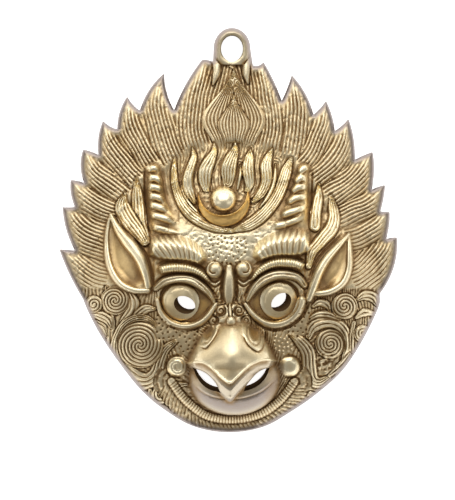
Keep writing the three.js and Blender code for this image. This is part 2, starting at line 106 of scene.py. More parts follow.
FLAMES_RIGHT = [
    dict(tip=(5.5, 26.9), valley=(8.4, 20.6), bows=(-0.3, 0.2),
         line=[(6.3, 12.6), (7.0, 16), (6.7, 19.5), (6.1, 23), (5.4, 26.7)],
         half=[1.8, 2.0, 2.0, 1.6, 0.5]),
    dict(tip=(10.0, 24.8), valley=(13.5, 18.4), bows=(-0.1, 0.5),
         line=[(9.7, 11.8), (10.4, 15), (10.7, 18), (10.6, 21), (10.1, 24.6)],
         half=[1.7, 2.1, 2.5, 1.9, 0.5]),
    dict(tip=(15.5, 20.7), valley=(16.9, 15.8), bows=(-0.1, 0.25),
         line=[(11.6, 10.2), (13.4, 12.4), (14.6, 15), (15.3, 17.6), (15.6, 20.6)],
         half=[1.6, 1.8, 1.9, 1.4, 0.4]),
    dict(tip=(19.1, 17.8), valley=(20.1, 11.2), bows=(-0.1, 0.35),
         line=[(13.2, 8.0), (15.6, 10.0), (17.4, 12.2), (18.6, 14.8), (19.1, 17.6)],
         half=[1.7, 1.9, 1.9, 1.5, 0.4]),
    dict(tip=(23.0, 12.5), valley=(22.8, 6.4), bows=(0.1, 0.3),
         line=[(15.6, 5.0), (18.2, 6.6), (20.4, 8.2), (22.0, 10.2), (23.0, 12.3)],
         half=[1.9, 2.1, 2.1, 1.5, 0.4]),
    dict(tip=(25.0, 7.2), valley=(24.2, 2.9), bows=(0.1, 0.1),
         line=[(17.2, 1.8), (19.8, 2.9), (22.1, 4.0), (23.9, 5.4), (25.0, 7.1)],
         half=[1.7, 1.8, 1.8, 1.3, 0.4]),
    dict(tip=(25.7, 2.9), valley=(25.1, -1.5), bows=(0, 0.2),
         line=[(18.6, -1.6), (20.9, -1.0), (23.0, 0.1), (24.6, 1.4), (25.6, 2.8)],
         half=[1.6, 1.7, 1.6, 1.2, 0.4]),
    dict(tip=(26.9, -1.2), valley=(24.1, -10.2), bows=(0.1, 0.9),
         line=[(19.8, -8.9), (21.6, -8.0), (23.6, -6.2), (25.4, -3.8), (26.6, -1.6)],
         half=[3.0, 3.2, 3.0, 2.2, 0.8]),
]
CHEEK_LINE = [
    (-22.5, -13.2), (-20.7, -16.6), (-17.9, -20.8), (-14, -25.7), (-10, -29), (-5.5, -31.5), (0, -32.4),
    (5.5, -31.5), (10, -29), (14, -26.2), (18, -22.6), (21.2, -17.9), (23.9, -12.4),
]
RING = dict(x=0.45, y=29.1, outer_x=2.95, outer_y=3.25, hole_x=1.75, hole_y=2.1,
            feet=((3.8, 26.3), (-2.6, 26.9)))
RING_LEGS = [
    [(-1.95, 28.0), (-2.0, 26.6), (-2.0, 25.2), (-2.6, 23.2)],
    [(2.9, 28.0), (2.8, 26.6), (2.7, 25.0), (3.0, 23.4)],
]
RING_BAND = dict(mid_x=2.35, mid_y=2.68, half=0.66, rise=0.5)

# Tongues of the crown, and how the strands of hair and flame are cut. A share tells how
# much deeper than usual they are in one part.
TONGUE = dict(rise=0.45, reach=6.5, waver=0.2, shift=0.21, depth_waver=0.35, grain=0.08,
              darkening=0.6, bare_rim=0.45, fade=1.3)
STRAND_PITCH = 0.58
STRAND_DEPTH = 0.2
STRAND_WAVER = 0.22
DEPTH_WAVER = 0.4
DEPTH_SHARE = dict(crown=1.45, bud=1.2, spiral=1.6)
CUT_WIDTH = 0.15

# Leaves of the bud: bottom, top, half width, rise, number of lines, and how far up
# each is widest.
BUD_X = 0.75
BUD_LEAVES = [(13.2, 26.8, 5.2, 0.45, 9, 0.32), (13.9, 22.4, 2.7, 0.85, 5, 0.34)]
BUD_FOOT = 0.62

# Second row of flames round the jewel: middle line, half widths, number of strands.
CURL_FLAMES = [
    ([(-7.6, 7.0), (-7.4, 5.6), (-6.6, 4.0), (-5.2, 2.5), (-3.8, 1.5)], [0.15, 0.5, 0.6, 0.6, 0.2], 2),
    ([(-8.7, 11.4), (-8.8, 9), (-8.5, 6.6), (-7.5, 4.2), (-5.8, 2.2), (-3.4, 0.8), (-1.2, 0.1),
      (0.6, -0.2)],
     [0.2, 0.55, 0.65, 0.8, 0.9, 0.85, 0.7, 0.3], 4),
    ([(-5.9, 13.1), (-5.6, 11.7), (-6.1, 10.0), (-6.6, 8.2), (-6.5, 6.4), (-5.6, 4.4)],
     [0.1, 0.6, 0.7, 0.85, 0.85, 0.35], 3),
    ([(-2.4, 13.9), (-2.4, 12.5), (-3.1, 11.0), (-3.8, 9.4), (-3.9, 7.8), (-3.6, 6.2)],
     [0.1, 0.55, 0.95, 1.15, 1.0, 0.5], 4),
    ([(1.8, 10.3), (1.8, 8.8), (1.5, 7.4), (1.3, 6.5)], [0.1, 0.3, 0.3, 0.2], 1),
    ([(1.0, 14.1), (0.9, 12.7), (0.3, 11.2), (-0.1, 9.8), (-0.1, 8.6), (-0.2, 7.5)],
     [0.1, 0.6, 1.0, 1.25, 1.2, 0.8], 5),
    ([(3.4, 12.9), (3.2, 11.4), (3.0, 10), (3.1, 8.6), (3.2, 7.3), (2.8, 6.1)],
     [0.1, 0.75, 0.95, 0.95, 0.8, 0.4], 4),
    ([(7.4, 10.4), (7.3, 8.6), (6.9, 6.8), (6.0, 5.0), (4.8, 3.5)], [0.1, 0.35, 0.4, 0.4, 0.1], 1),
    ([(6.9, 13.0), (6.3, 11.6), (5.9, 10.2), (6.0, 8.6), (5.8, 7.2), (5.0, 5.7), (3.8, 4.5)],
     [0.1, 0.65, 0.95, 0.9, 0.8, 0.7, 0.3], 4),
    ([(9.9, 11.4), (9.3, 9.8), (8.7, 8), (8.0, 6.0), (6.8, 4.0), (5.2, 2.2), (3.2, 0.8), (1.0, 0.0)],
     [0.3, 0.9, 0.95, 0.95, 0.95, 1.0, 0.9, 0.4], 5),
]
CURL_RISE = [0.4, 0.75, 0.85, 0.85, 0.65, 0.35]
CURL_DEPTH = 0.24
CURL_CUT = 0.18

# The forehead: the sunken ground of fine hair under the flames, and the bare skin below.
FOREHEAD = [
    (-9.6, 10.3), (-6, 13.1), (-2.4, 13.8), (1, 13.9), (5, 13.4), (8.4, 12.2), (10.4, 10.4), (9.6, 7.4),
    (7.6, 3.8),
    (4.4, 0.9), (0.6, -0.4), (-3.2, 0.2), (-6.8, 2.2), (-9.2, 5.4), (-9.9, 8.2),
]
FOREHEAD_HAIR = dict(soften=0.45, sink=0.1, pitch=0.5, depth=0.16, grain=0.06, darkening=0.5)
BARE_SKIN = [(-8.5, 0.6), (-4, -0.3), (0.6, -0.9), (5, -0.1), (8.4, 1.6), (7, -2.6), (3.4, -5),
             (-3.2, -5), (-7, -3)]

# The jewel, and the moon between two circles: their middles and radii.
JEWEL = dict(x=-0.9, y=4.9, radius=2.1, rise=1.9, sink=0.3)
MOON = dict(inner=(-1.0, 6.2, 3.85), outer=(-0.85, 4.7, 4.22),
            top=6.1, rise=0.6, sink=0.3, lip=0.4, groove=0.35)

# Horns: middle line, half widths, the groove outside, and the twisted ribs from side to side.
HORNS = [
    dict(line=[(-9.4, -0.4), (-10.6, 1.6), (-11.4, 4), (-11.8, 6.8), (-12.0, 9.7)],
         half=[2.9, 2.3, 1.8, 1.6, 1.2],
         outside=[(-13.5, 9.6), (-13.5, 6.5), (-13.4, 3.5), (-13.2, 1.0), (-12.4, -0.9)],
         ribs=[[(-13.4, 9.5), (-12.2, 9.9), (-11.0, 9.4)], [(-13.2, 8.1), (-11.8, 8.3), (-10.4, 7.3)],
               [(-13.1, 6.8), (-11.8, 6.8), (-10.4, 6.0)], [(-13.0, 5.3), (-11.6, 5.3), (-10.3, 4.4)],
               [(-12.9, 3.9), (-11.6, 3.8), (-9.8, 2.9)], [(-12.8, 2.3), (-11.0, 2.1), (-8.5, 1.0)],
               [(-12.5, 0.5), (-10.4, 0.0), (-7.4, -0.9)]]),
    dict(line=[(9.4, 0.6), (10.3, 2.2), (11.0, 4.2), (11.4, 6.8), (11.9, 9.8)],
         half=[2.9, 2.4, 1.9, 1.5, 1.1],
         outside=[(13.3, 9.4), (13.2, 6.5), (13.2, 3.6), (12.8, 1.4)],
         ribs=[[(10.9, 9.0), (12.1, 9.9), (13.1, 9.4)], [(10.2, 7.5), (11.4, 8.3), (12.6, 7.9)],
               [(9.6, 5.9), (11.0, 6.75), (12.7, 6.8)], [(8.9, 4.2), (10.6, 5.1), (12.7, 5.3)],
               [(8.0, 2.1), (10.5, 3.1), (12.6, 3.7)], [(6.8, 0.5), (9.4, 1.1), (12.0, 2.1)]]),
]
HORN = dict(foot=[0.3, 0.6, 0.9, 1.0, 0.8], warmth=0.45, cut=(0.14, 0.4),
            rib_half=[0.5, 0.68, 0.66, 0.6, 0.3], rib_rise=0.85)

# Locks of hair beside the horns: middle line, half widths, number of strands.
LOCKS = [
    ([(-13.3, -1.8), (-14.1, 1), (-14.5, 4), (-14.7, 6.4), (-14.8, 8.3)], [0.7, 1.0, 1.15, 0.9, 0.2], 4),
    ([(-13.5, -1.8), (-14.9, 0.2), (-16.3, 2.0), (-17.0, 3.9), (-16.6, 5.9)], [0.8, 1.3, 1.6, 1.3, 0.2], 5),
    ([(13.7, 0.6), (13.8, 2.6), (14.2, 4.8), (14.3, 7.3)], [0.9, 0.9, 0.8, 0.2], 3),
    ([(12.7, -5.8), (13.2, -3.6), (14.6, -1.8), (16.2, 0), (16.8, 1.9), (16.5, 3.8), (16.2, 5.6)],
     [0.5, 0.8, 1.0, 1.1, 1.0, 0.8, 0.2], 4),
]
LOCK_RISE = [0.7, 1.0, 1.1, 0.9, 0.4]
LOCK_DEPTH = 0.28

# Ears: the ridge towards the face, the rim behind, and the deep end of the bowl.
EARS = [
    dict(ridge=[(-18.9, 2.4), (-17.7, 0.0), (-15.6, -2.6), (-14.2, -4.7), (-13.3, -7.2), (-13.0, -9.0)],
         ridge_half=[0.3, 0.8, 1.15, 1.0, 0.8, 0.6],
         rim=[(-18.9, 2.4), (-19.5, -0.5), (-19.5, -3.6), (-18.9, -6.2), (-17.4, -8.5), (-15.2, -9.6),
              (-13.0, -9.7)],
         rim_half=[0.3, 0.4, 0.5, 0.6, 0.6, 0.6, 0.5],
         outside=[(-18.0, 2.6), (-16.6, -0.2), (-14.6, -2.2), (-13.3, -3.8), (-12.6, -5.6),
                  (-12.2, -7.4), (-12.1, -9.0)],
         bowl=[(-18.4, 0.2), (-17.6, -2.8), (-16.8, -5.2), (-15.2, -7.6)], bowl_half=[0.5, 1.5, 2.1, 1.5]),
    dict(ridge=[(19.1, -0.7), (17.2, -2.8), (15.6, -4.6), (14.3, -6.8), (13.3, -9.4), (12.7, -11.0)],
         ridge_half=[0.3, 0.6, 0.75, 0.8, 0.8, 0.6],
         rim=[(19.1, -0.7), (19.2, -3.6), (19.1, -6.2), (18.2, -8.4), (16.4, -9.7), (14.6, -10.1),
              (13.2, -10.1)],
         rim_half=[0.3, 0.45, 0.55, 0.6, 0.6, 0.6, 0.5],
         outside=[(18.0, -0.6), (16.2, -2.4), (14.6, -4.0), (13.5, -5.8), (12.9, -7.6)],
         bowl=[(18.6, -2.2), (17.6, -4.4), (16.6, -6.4), (15.0, -8.6)], bowl_half=[0.4, 1.3, 1.7, 1.2]),
]
EAR = dict(foot=0.5, soften=0.22, bowl_depth=0.75, bowl=[0.3, 0.8, 1.1, 1.6], warmth=0.5, darkening=0.6,
           rim_rise=[0.6, 1.0, 1.1, 1.15, 1.2, 1.1, 0.9], ridge_rise=[1.0, 1.6, 1.9, 1.9, 1.7, 1.2],
           cut=(0.16, 0.4))

# Brows: the hairy arch, the groove under it, the lash band, its groove, the folded lid.
BROWS = [
    dict(arch=[(-13.0, -2.6), (-11.2, -2.7), (-9.2, -2.8), (-7.2, -3.1), (-5.4, -3.9), (-3.7, -5.2)],
         arch_half=[1.6, 2.2, 2.4, 2.3, 1.9, 0.8], peak=0.1, lean=0.75,
         groove=[(-11.4, -5.5), (-10, -5.05), (-8, -4.95), (-6, -5.2), (-4.5, -5.9), (-3.0, -7.1)],
         lash=[(-11.5, -6.7), (-10, -6.15), (-8, -6.0), (-6, -6.25), (-4.6, -6.9), (-3.6, -7.7),
               (-3.0, -8.4)],
         lash_half=[0.7, 0.85, 0.9, 0.85, 0.7, 0.5, 0.3],
         crease=[(-12.0, -8.6), (-10.9, -7.7), (-9.6, -7.2), (-8, -7.05), (-6, -7.25), (-4.5, -8.0),
                 (-3.2, -9.1), (-1.9, -10.8)],
         lid=[(-11.7, -9.3), (-10.2, -8.2), (-8, -7.8), (-6, -8.05), (-4.6, -8.85), (-3.4, -10.0),
              (-2.5, -11.4)],
         lid_half=[0.5, 0.7, 0.75, 0.75, 0.75, 0.65, 0.35]),
    dict(arch=[(13.2, -1.6), (11.4, -1.9), (9.4, -2.1), (7.4, -2.4), (5.6, -3.2), (4.0, -4.8)],
         arch_half=[1.8, 2.4, 2.5, 2.3, 1.9, 0.8], peak=-0.1, lean=-0.25,
         groove=[(12.3, -5.3), (11, -4.55), (9, -4.2), (7, -4.35), (5.3, -4.95), (4.1, -5.6)],
         lash=[(12.2, -6.3), (10.8, -5.5), (9, -5.2), (7, -5.35), (5.4, -6.1), (4.2, -7.2), (3.4, -8.4)],
         lash_half=[0.7, 0.85, 0.9, 0.85, 0.75, 0.55, 0.3],
         crease=[(12.1, -7.8), (11.0, -6.85), (9, -6.3), (7, -6.4), (5, -7.15), (3.5, -8.6), (2.2, -10.9)],
         lid=[(12.1, -8.9), (10.9, -7.6), (9, -7.1), (7, -7.25), (5.2, -8.2), (3.9, -9.6), (3.0, -11.2)],
         lid_half=[0.5, 0.7, 0.75, 0.8, 0.8, 0.7, 0.4]),
]
BROW = dict(rise=1.9, pitch=0.95, depth=0.26, groove=(0.2, 0.55), crease=(0.18, 0.5))
LASH = dict(rise=1.25, pitch=0.4, depth=0.2)
LID_RISE = [0.5, 0.9, 1.1, 1.1, 1.0, 0.9, 0.5]
BROW_KNOBS = [(-2.35, -6.4, -1), (2.35, -6.3, 1)]
BROW_KNOB = dict(radius=1.35, foot=0.2, rise=1.0, core=0.35, cut=(0.15, 0.4))

# Eyes: middle of the disc, the hole with its lean and turn, the lids and the fold below.
EYES = [
    dict(x=-7.75, y=-11.5, hole=(-6.95, -11.75), lean=(-0.24, -0.32), turn=-0.35,
         upper=[(-11.05, -11.0), (-10.6, -9.6), (-9.5, -8.8), (-8, -8.5), (-6.5, -8.75), (-5, -9.5),
                (-3.6, -10.5), (-2.7, -11.6)],
         lower=[(-11.05, -11.2), (-10.5, -12.9), (-9.3, -14.25), (-7.5, -14.9), (-5.6, -14.65),
                (-4.0, -13.6), (-2.75, -11.8)],
         lid_half=[0.3, 0.5, 0.6, 0.7, 0.6, 0.5, 0.3], lid_rise=[0.3, 0.5, 0.6, 0.7, 0.7, 0.6, 0.3],
         under=[(-9.6, -15.3), (-8.4, -15.7), (-7.0, -15.9), (-5.6, -15.8), (-4.4, -15.4)]),
    dict(x=7.9, y=-11.3, hole=(8.05, -11.35), lean=(0.36, -0.28), turn=0.5,
         upper=[(3.2, -11.6), (4.5, -9.9), (6, -8.75), (8, -8.1), (9.7, -8.5), (10.8, -9.6),
                (11.15, -11.0)],
         lower=[(3.2, -11.8), (4.3, -13.2), (5.8, -14.3), (7.5, -14.6), (9.2, -14.1), (10.5, -12.9),
                (11.15, -11.2)],
         lid_half=[0.3, 0.5, 0.6, 0.6, 0.65, 0.75, 0.75], lid_rise=[0.3, 0.6, 0.7, 0.6, 0.8, 1.1, 1.2],
         under=[(4.2, -14.6), (5.6, -15.6), (7.4, -16.0), (9.6, -15.4), (11.6, -13.8), (12.8, -11.6)]),
]
EYE = dict(radius=3.0, sink=1.0, bulge=0.9, ball=3.4, ring=2.3, floor=0.1, soften=0.12, darkening=0.1,
           hole_x=1.75, hole_y=1.42, lower=(0.17, 0.45), upper=(0.17, 0.4), under=(0.2, 0.5))

# Beak: crest line, half widths, how the flanks drop, and the lower edge. A step is a
# depth, where it starts and how far it takes: the lip steps back under the edge, and the
# root steps down to the forehead.
BEAK = dict(x=0.5, top=-15.2, tip=-24.5, peak=17.1, shoulder=12.9,
            bend_rate=0.8, bend_start=0.02, bend_end=0.62, half_top=4.6, half_low=7.6, narrowing=0.6,
            drop=4.7, drop_power=1.55, side=0.95, side_drop=16)
EDGE_BEAD = dict(rise=0.16, above=0.22, width=0.13)
LIP_STEPS = [(0.7, -0.12, 0.3), (1.4, 0.8, 1.4), (13, 2.0, 2.6)]
LIP_ENDS = dict(x=0.6, half=5.6, run=1.8, drop=6)
ROOT_STEPS = [(3.4, -0.6, 3.6), (13, 3.0, 3.0)]
BEAK_EDGE = [
    (-8.6, -21.7), (-6.5, -21.4), (-4.9, -21.15), (-3.8, -21.4), (-2.5, -22.4), (-1.4, -23.5), (0.1, -24.5),
    (1.2, -23.6), (2.8, -22.1), (4.1, -21.25), (5.7, -20.8), (7.9, -21.1), (9.4, -21.7),
]
CHIN = dict(x=0.8, y=-22.4, half=8.0, up=4, down=7.2, height=6.0, full=2.4, round=0.75)
CHIN_FOOT = 6.4
CHIN_LINE = dict(x=0.2, y=-26.7, bend=0.07)
MOUTH_HOLES = [
    dict(corners=[(-6.0, -22.1), (-2.1, -22.2), (-1.2, -25.8), (-4.7, -26.1)], lean=(-0.1, -0.13)),
    dict(corners=[(6.6, -22.0), (3.7, -21.9), (2.3, -25.7), (5.8, -25.2)], lean=(0.1, -0.12)),
]
HOLE_LEVEL = dict(eye=9.6, mouth=11.6)
TUBE_FOOT = -1
TUBE_TOP = 21
MOUTH_KNOBS = [(9.7, -21.8, 1.7, 0), (-8.3, -21.8, 1.7, 1)]

# Lines of the lower lip: points, width, height.
SMILE = [
    ([(-5.6, -24.4), (-4.2, -25.6), (-2.4, -26.4), (0.2, -26.75), (2.8, -26.4), (5.2, -25.4),
      (7.2, -23.8)], 0.32, 0.12),
    ([(-5.8, -24.7), (-4.3, -25.9), (-2.4, -26.7), (0.2, -27.05), (2.8, -26.7), (5.3, -25.7),
      (7.4, -24.0)], 0.1, -0.14),
]

# Nose: the bar between the eyes, the stem and bead under it, and what lies at its right
# and is mirrored: a groove along the bar, curls as SPIRALS below, and grooves round them.
NOSE_BRIDGE = dict(x=0.3, y=-14.9, radius=3.2, base=0.0, rise=1.5)
NOSE_BAR = dict(points=[(0, -6.0), (0, -7.4), (-0.05, -9.4), (-0.05, -10.8), (0, -12.0)],
                half=[0.5, 0.8, 0.92, 0.85, 0.4], rise=[0.8, 1.3, 1.45, 1.2, 0.5], cut=0.1, round_off=4)
NOSE_STEM = dict(points=[(0.1, -11.9), (0.15, -12.9), (0.25, -13.8)],
                 half=[0.2, 0.4, 0.3], rise=[0.8, 1.4, 1.9], cut=0.1)
NOSE_BEAD = dict(x=0.3, y=-14.6, half_x=0.75, half_y=0.85, foot=1.7, rise=0.9)
NOSE_SIDE = ([(0.9, -6.2), (1.15, -7.5), (1.15, -9.5), (1.05, -11.6)], 0.2, 0.55)
NOSE_MIDDLE = 0.1
NOSE_CURLS = [(1.45, -12.9, 0.9, 0.5, 1, 0.5, 0.35), (2.5, -14.4, 0.8, 0.5, -1, 0.5, 0.35)]
NOSE_GROOVES = [
    ([(0.8, -13.9), (2.0, -13.9), (3.0, -13.2)], 0.16, 0.35),
    ([(1.0, -15.0), (1.9, -14.9), (2.6, -15.4)], 0.16, 0.35),
    ([(1.9, -10.8), (2.3, -12.2), (3.6, -13.9), (4.6, -15.0)], 0.18, 0.4),
]
NOSTRILS = [
    dict(flap=[(2.0, -14.9), (2.1, -16.4), (2.6, -17.7), (3.4, -18.8), (4.5, -19.4), (5.3, -18.9),
               (5.7, -17.6), (5.8, -15.4)],
         line=[(2.2, -16.9), (2.8, -18.1), (3.6, -18.9), (4.5, -19.4), (5.3, -18.9), (5.7, -17.6),
               (5.8, -15.8)],
         fold=[(2.9, -15.4), (3.0, -16.8), (3.6, -18.0), (4.5, -18.3), (5.1, -17.2), (5.1, -15.6)],
         pocket=[(3.2, -15.2), (3.3, -16.6), (3.9, -17.5), (4.6, -17.4), (4.8, -16.2), (4.7, -15.2)]),
    dict(flap=[(-1.6, -15.0), (-1.9, -16.4), (-2.7, -17.8), (-3.6, -18.9), (-4.5, -18.8), (-4.9, -17.0),
               (-4.8, -15.4)],
         line=[(-1.6, -15.6), (-2.0, -16.7), (-2.8, -17.9), (-3.7, -18.9), (-4.6, -18.6)],
         fold=[(-2.3, -15.4), (-2.7, -16.8), (-3.4, -17.9), (-4.2, -17.9)],
         pocket=[(-2.6, -15.6), (-2.9, -16.8), (-3.5, -17.5), (-4.0, -16.8), (-3.8, -15.5)]),
]
NOSTRIL = dict(flap=(0.3, 0.12), pocket=(-0.45, 0.2), line=(0.12, 0.38), fold=(0.14, 0.2), warm_edge=0.2)

# Spiral curls of the beard: centre, radius, line pitch, winding, start angle, rise.
SPIRALS = [
    (-18.2, -11.3, 2.3, 0.5, 1, 2.0, 0.5),
    (-21.6, -11.9, 1.4, 0.5, -1, 0.5, 0.4),
    (-14.2, -18.4, 3.7, 0.57, 1, 0.4, 0.6),
    (-10.8, -26.3, 1.5, 0.48, -1, 1.0, 0.4),
    (16.1, -18.2, 2.4, 0.52, -1, 2.6, 0.6),
    (18.4, -12.2, 2.1, 0.52, -1, 1.2, 0.6),
    (21.3, -16.6, 1.4, 0.48, -1, 0.2, 0.4),
]
# Beard strands round the curls: middle line, half widths, number of strands, rise.
BEARD = [
    ([(-19.6, -9.2), (-19.3, -12.6), (-18.9, -15), (-18.9, -17.5), (-18.6, -19.8), (-17.4, -22)],
     [0.4, 0.6, 0.7, 0.7, 0.6, 0.3], 2, 0.3),
    ([(-21.8, -13.4), (-20.6, -13.7), (-19.4, -14.4), (-18.8, -15.6)], [0.4, 0.8, 0.8, 0.3], 3, 0.5),
    ([(-21.2, -14.8), (-20.2, -15.6), (-19.6, -16.9)], [0.4, 0.7, 0.3], 3, 0.3),
    ([(-15.9, -9.9), (-15.3, -11.6), (-15.7, -13.2), (-17.2, -14.6)], [0.5, 1.0, 1.0, 0.3], 3, 0.5),
    ([(-11.9, -12.6), (-13.2, -12.6), (-14.4, -13.4), (-15.6, -14.4)], [0.3, 0.8, 0.8, 0.3], 3, 0.5),
    ([(-11.6, -15.8), (-12.4, -14.6), (-14, -14.0), (-15.8, -14.4), (-17.3, -15.8), (-18.1, -18.5),
      (-17.3, -21.5),
      (-15.3, -23.6), (-13.2, -24.2), (-11.7, -23), (-11.1, -21), (-10.3, -19.2), (-9, -18.1),
      (-7.7, -17.4)],
     [0.3, 0.6, 0.6, 0.6, 0.7, 0.9, 1.2, 1.4, 1.4, 1.2, 0.95, 0.85, 0.6, 0.2], 4, 0.5),
    ([(-9.4, -24.6), (-8.4, -26.4), (-7.2, -28.6), (-6.2, -30.8)], [0.6, 1.0, 1.2, 1.0], 4, 0.4),
    ([(-12.6, -25.6), (-12.2, -27.2), (-10.6, -28.5), (-8.6, -29.4)], [0.3, 0.6, 0.6, 0.4], 2, 0.3),
    ([(-9.9, -23.4), (-9.6, -24.4), (-8.2, -24.7), (-6.8, -24.6)], [0.4, 0.5, 0.5, 0.3], 2, 0.3),
    ([(12.7, -17.0), (13.3, -15.6), (15.0, -14.7), (17.0, -14.9), (18.5, -16.4), (18.9, -18.6),
      (18.2, -20.8)],
     [0.5, 1.0, 1.0, 0.9, 0.8, 0.7, 0.3], 3, 0.7),
    ([(12.8, -14.3), (14.0, -13.6), (15.8, -13.5), (17.6, -14.3)], [0.3, 0.6, 0.6, 0.3], 2, 0.6),
    ([(9.7, -16.6), (11.4, -17.9), (12.6, -19.6), (12.8, -21.8), (13.2, -23.8), (14.4, -24.4),
      (15.9, -23.6)],
     [0.3, 0.9, 1.1, 1.1, 1.1, 0.9, 0.4], 4, 0.6),
    ([(11.9, -23.4), (12.0, -24.9), (12.7, -26.1), (14.2, -26.3)], [0.3, 0.5, 0.5, 0.3], 2, 0.4),
    ([(20.4, -11.2), (21.6, -10.5), (23.0, -10.8), (23.8, -12.2)], [0.3, 0.8, 0.8, 0.3], 3, 0.5),
    ([(20.3, -14.0), (21.6, -13.2), (23.2, -13.4)], [0.3, 0.7, 0.3], 2, 0.6),
    ([(19.9, -14.8), (19.5, -17.0), (19.6, -19.4)], [0.3, 0.5, 0.3], 2, 0.3),
    ([(16.0, -23.3), (17.6, -21.9), (19.2, -19.8)], [0.3, 0.6, 0.3], 2, 0.3),
    ([(13.4, -12.2), (14.4, -11.6), (15.6, -12.0), (16.1, -13.0)], [0.3, 0.6, 0.6, 0.2], 2, 0.4),
]
BEARD_DEPTH = 0.3
CHEEK_TOP = -9.4
LOOSE_HAIR_Y = -12
ROUGH_PATCH = (15.6, -20.8, 1.9)
COLLAR = [(-9.2, -24.2), (-7.4, -26.7), (-5.2, -28.7), (-3, -29.9), (0, -30.3), (3, -30.0), (5.6, -29.1),
          (7.8, -27.5), (9.3, -25.8), (10.4, -24.2)]
COLLAR_HALF = 0.72
COLLAR_PITCH = 0.46
COLLAR_RISE = 0.42
FRINGE = dict(reach=2.9, pitch=0.6, lean=0.5, depth=0.2)

# Pitted skin: polygons that hold the pits, and the least space between two.
PITTED = [
    [(-3.7, -1.0), (2.4, -1.0), (2.8, -3.0), (1.8, -5.6), (-0.6, -5.7), (-3.2, -4.6)],
    [(-11.6, -13.2), (-10.4, -14.4), (-7.6, -16.6), (-5.0, -16.2), (-5.4, -19.6), (-7.2, -20.0),
     (-8.4, -17.6), (-11.8, -17.6)],
    [(8.6, -16.0), (12.6, -11.4), (12.9, -13.8), (12.4, -16.8), (11.2, -17.2), (9.4, -16.6)],
]
PIT_GAP = 0.66
PIT_DEPTH = 0.3
PEBBLE_GAP = 0.5
PEBBLE_RISE = 0.24
PEBBLED = [(6.9, -17.0), (9.4, -17.0), (10.4, -19.2), (8.6, -20.2), (7.2, -19.2)]


def ease(v):
    v = np.clip(v, 0, 1)
    return v * v * (3 - 2 * v)


def dome(v):
    """Round section of a band, from 1 in the middle to 0 at its edges."""
    return np.sqrt(np.clip(1 - v * v, 0, 1))


def soft_max(a, b, width):
    mix = np.clip(0.5 + (a - b) / (2 * width), 0, 1)
    return b + (a - b) * mix + 0.5 * width * mix * (1 - mix)


COLUMNS = int(round(2 * HALF_X / SAMPLE)) + 1
ROWS = int(round(2 * HALF_Y / SAMPLE)) + 1
X, Y = np.meshgrid(np.linspace(-HALF_X, HALF_X, COLUMNS), np.linspace(-HALF_Y, HALF_Y, ROWS))


def blur(sheet, radius):
    """Gaussian blur with a radius in millimetres."""
    sigma = radius / SAMPLE
    reach = int(3 * sigma) + 1
    offsets = np.arange(-reach, reach + 1)
    weights = np.exp(-0.5 * (offsets / sigma) ** 2)
    weights /= weights.sum()
    for axis in (0, 1):
        pad = [(0, 0), (0, 0)]
        pad[axis] = (reach, reach)
        wide = np.pad(sheet, pad, mode="edge")
        size = sheet.shape[axis]
        sheet = sum(
            w * (wide[i:i + size] if axis == 0 else wide[:, i:i + size]) for i, w in enumerate(weights)
        )
    return sheet


def noise(seed, radius):
    """Seeded smooth noise, about -1 to 1."""
    rough = blur(np.random.default_rng(SEED + seed).standard_normal(X.shape), radius)
    return np.clip(rough / (2 * rough.std()), -1, 1)


WAVER = noise(1, 1.1)
CUT_WAVER = noise(4, 0.8)
FINE_WAVER = noise(2, 0.3)
ROUGH = noise(3, 0.13)


def smooth_line(points, step=0.3, closed=False):
    """Catmull-Rom line through the points, in short steps."""
    p = np.array(points, float)
    ends = (p[-1], p[0], p[1]) if closed else (2 * p[0] - p[1], 2 * p[-1] - p[-2], None)
    q = np.vstack([ends[0], p, ends[1]] + ([ends[2]] if closed else []))
    line = []
    for i in range(1, len(q) - 2):
        count = max(2, int(np.hypot(*(q[i + 1] - q[i])) / step))
        for t in np.arange(count) / count:
            a = 2 * q[i]
            b = (q[i + 1] - q[i - 1]) * t
            c = (2 * q[i - 1] - 5 * q[i] + 4 * q[i + 1] - q[i + 2]) * t * t
            d = (3 * q[i] - q[i - 1] - 3 * q[i + 1] + q[i + 2]) * t ** 3
            line.append(0.5 * (a + b + c + d))
    line.append(q[-2] if not closed else line[0])
    return np.array(line)


def span(low, high, start, count):
    first = int(np.clip(math.floor((low - start) / SAMPLE), 0, count - 1))
    last = int(np.clip(math.ceil((high - start) / SAMPLE) + 1, first + 1, count))
    return first, last


def trace(line, reach):
    """Window of the sheet near a line, with signed side distance, share of length and length."""
    low, high = line.min(0) - reach, line.max(0) + reach
    c0, c1 = span(low[0], high[0], -HALF_X, COLUMNS)
    r0, r1 = span(low[1], high[1], -HALF_Y, ROWS)
    side = np.full((r1 - r0, c1 - c0), 99.0)
    share = np.zeros(side.shape)
    steps = np.hypot(*np.diff(line, axis=0).T)
    lengths = np.concatenate([[0], np.cumsum(steps)])
    for i, size in enumerate(steps):
        if size < 1e-9:
            continue
        a, b = line[i], line[i + 1]
        k0, k1 = span(min(a[0], b[0]) - reach, max(a[0], b[0]) + reach, -HALF_X, COLUMNS)
        m0, m1 = span(min(a[1], b[1]) - reach, max(a[1], b[1]) + reach, -HALF_Y, ROWS)
        x, y = X[m0:m1, k0:k1] - a[0], Y[m0:m1, k0:k1] - a[1]
        dx, dy = (b - a) / size
        t = np.clip(x * dx + y * dy, 0, size)
        away = np.hypot(x - t * dx, y - t * dy)
        here = np.s_[m0 - r0:m1 - r0, k0 - c0:k1 - c0]
        better = away < np.abs(side[here])
        side[here] = np.where(better, np.where(dx * y - dy * x >= 0, away, -away), side[here])
        share[here] = np.where(better, (lengths[i] + t) / lengths[-1], share[here])
    return np.s_[r0:r1, c0:c1], side, share, lengths[-1]


def spread(values, share):
    return np.interp(share, np.linspace(0, 1, len(values)), values)


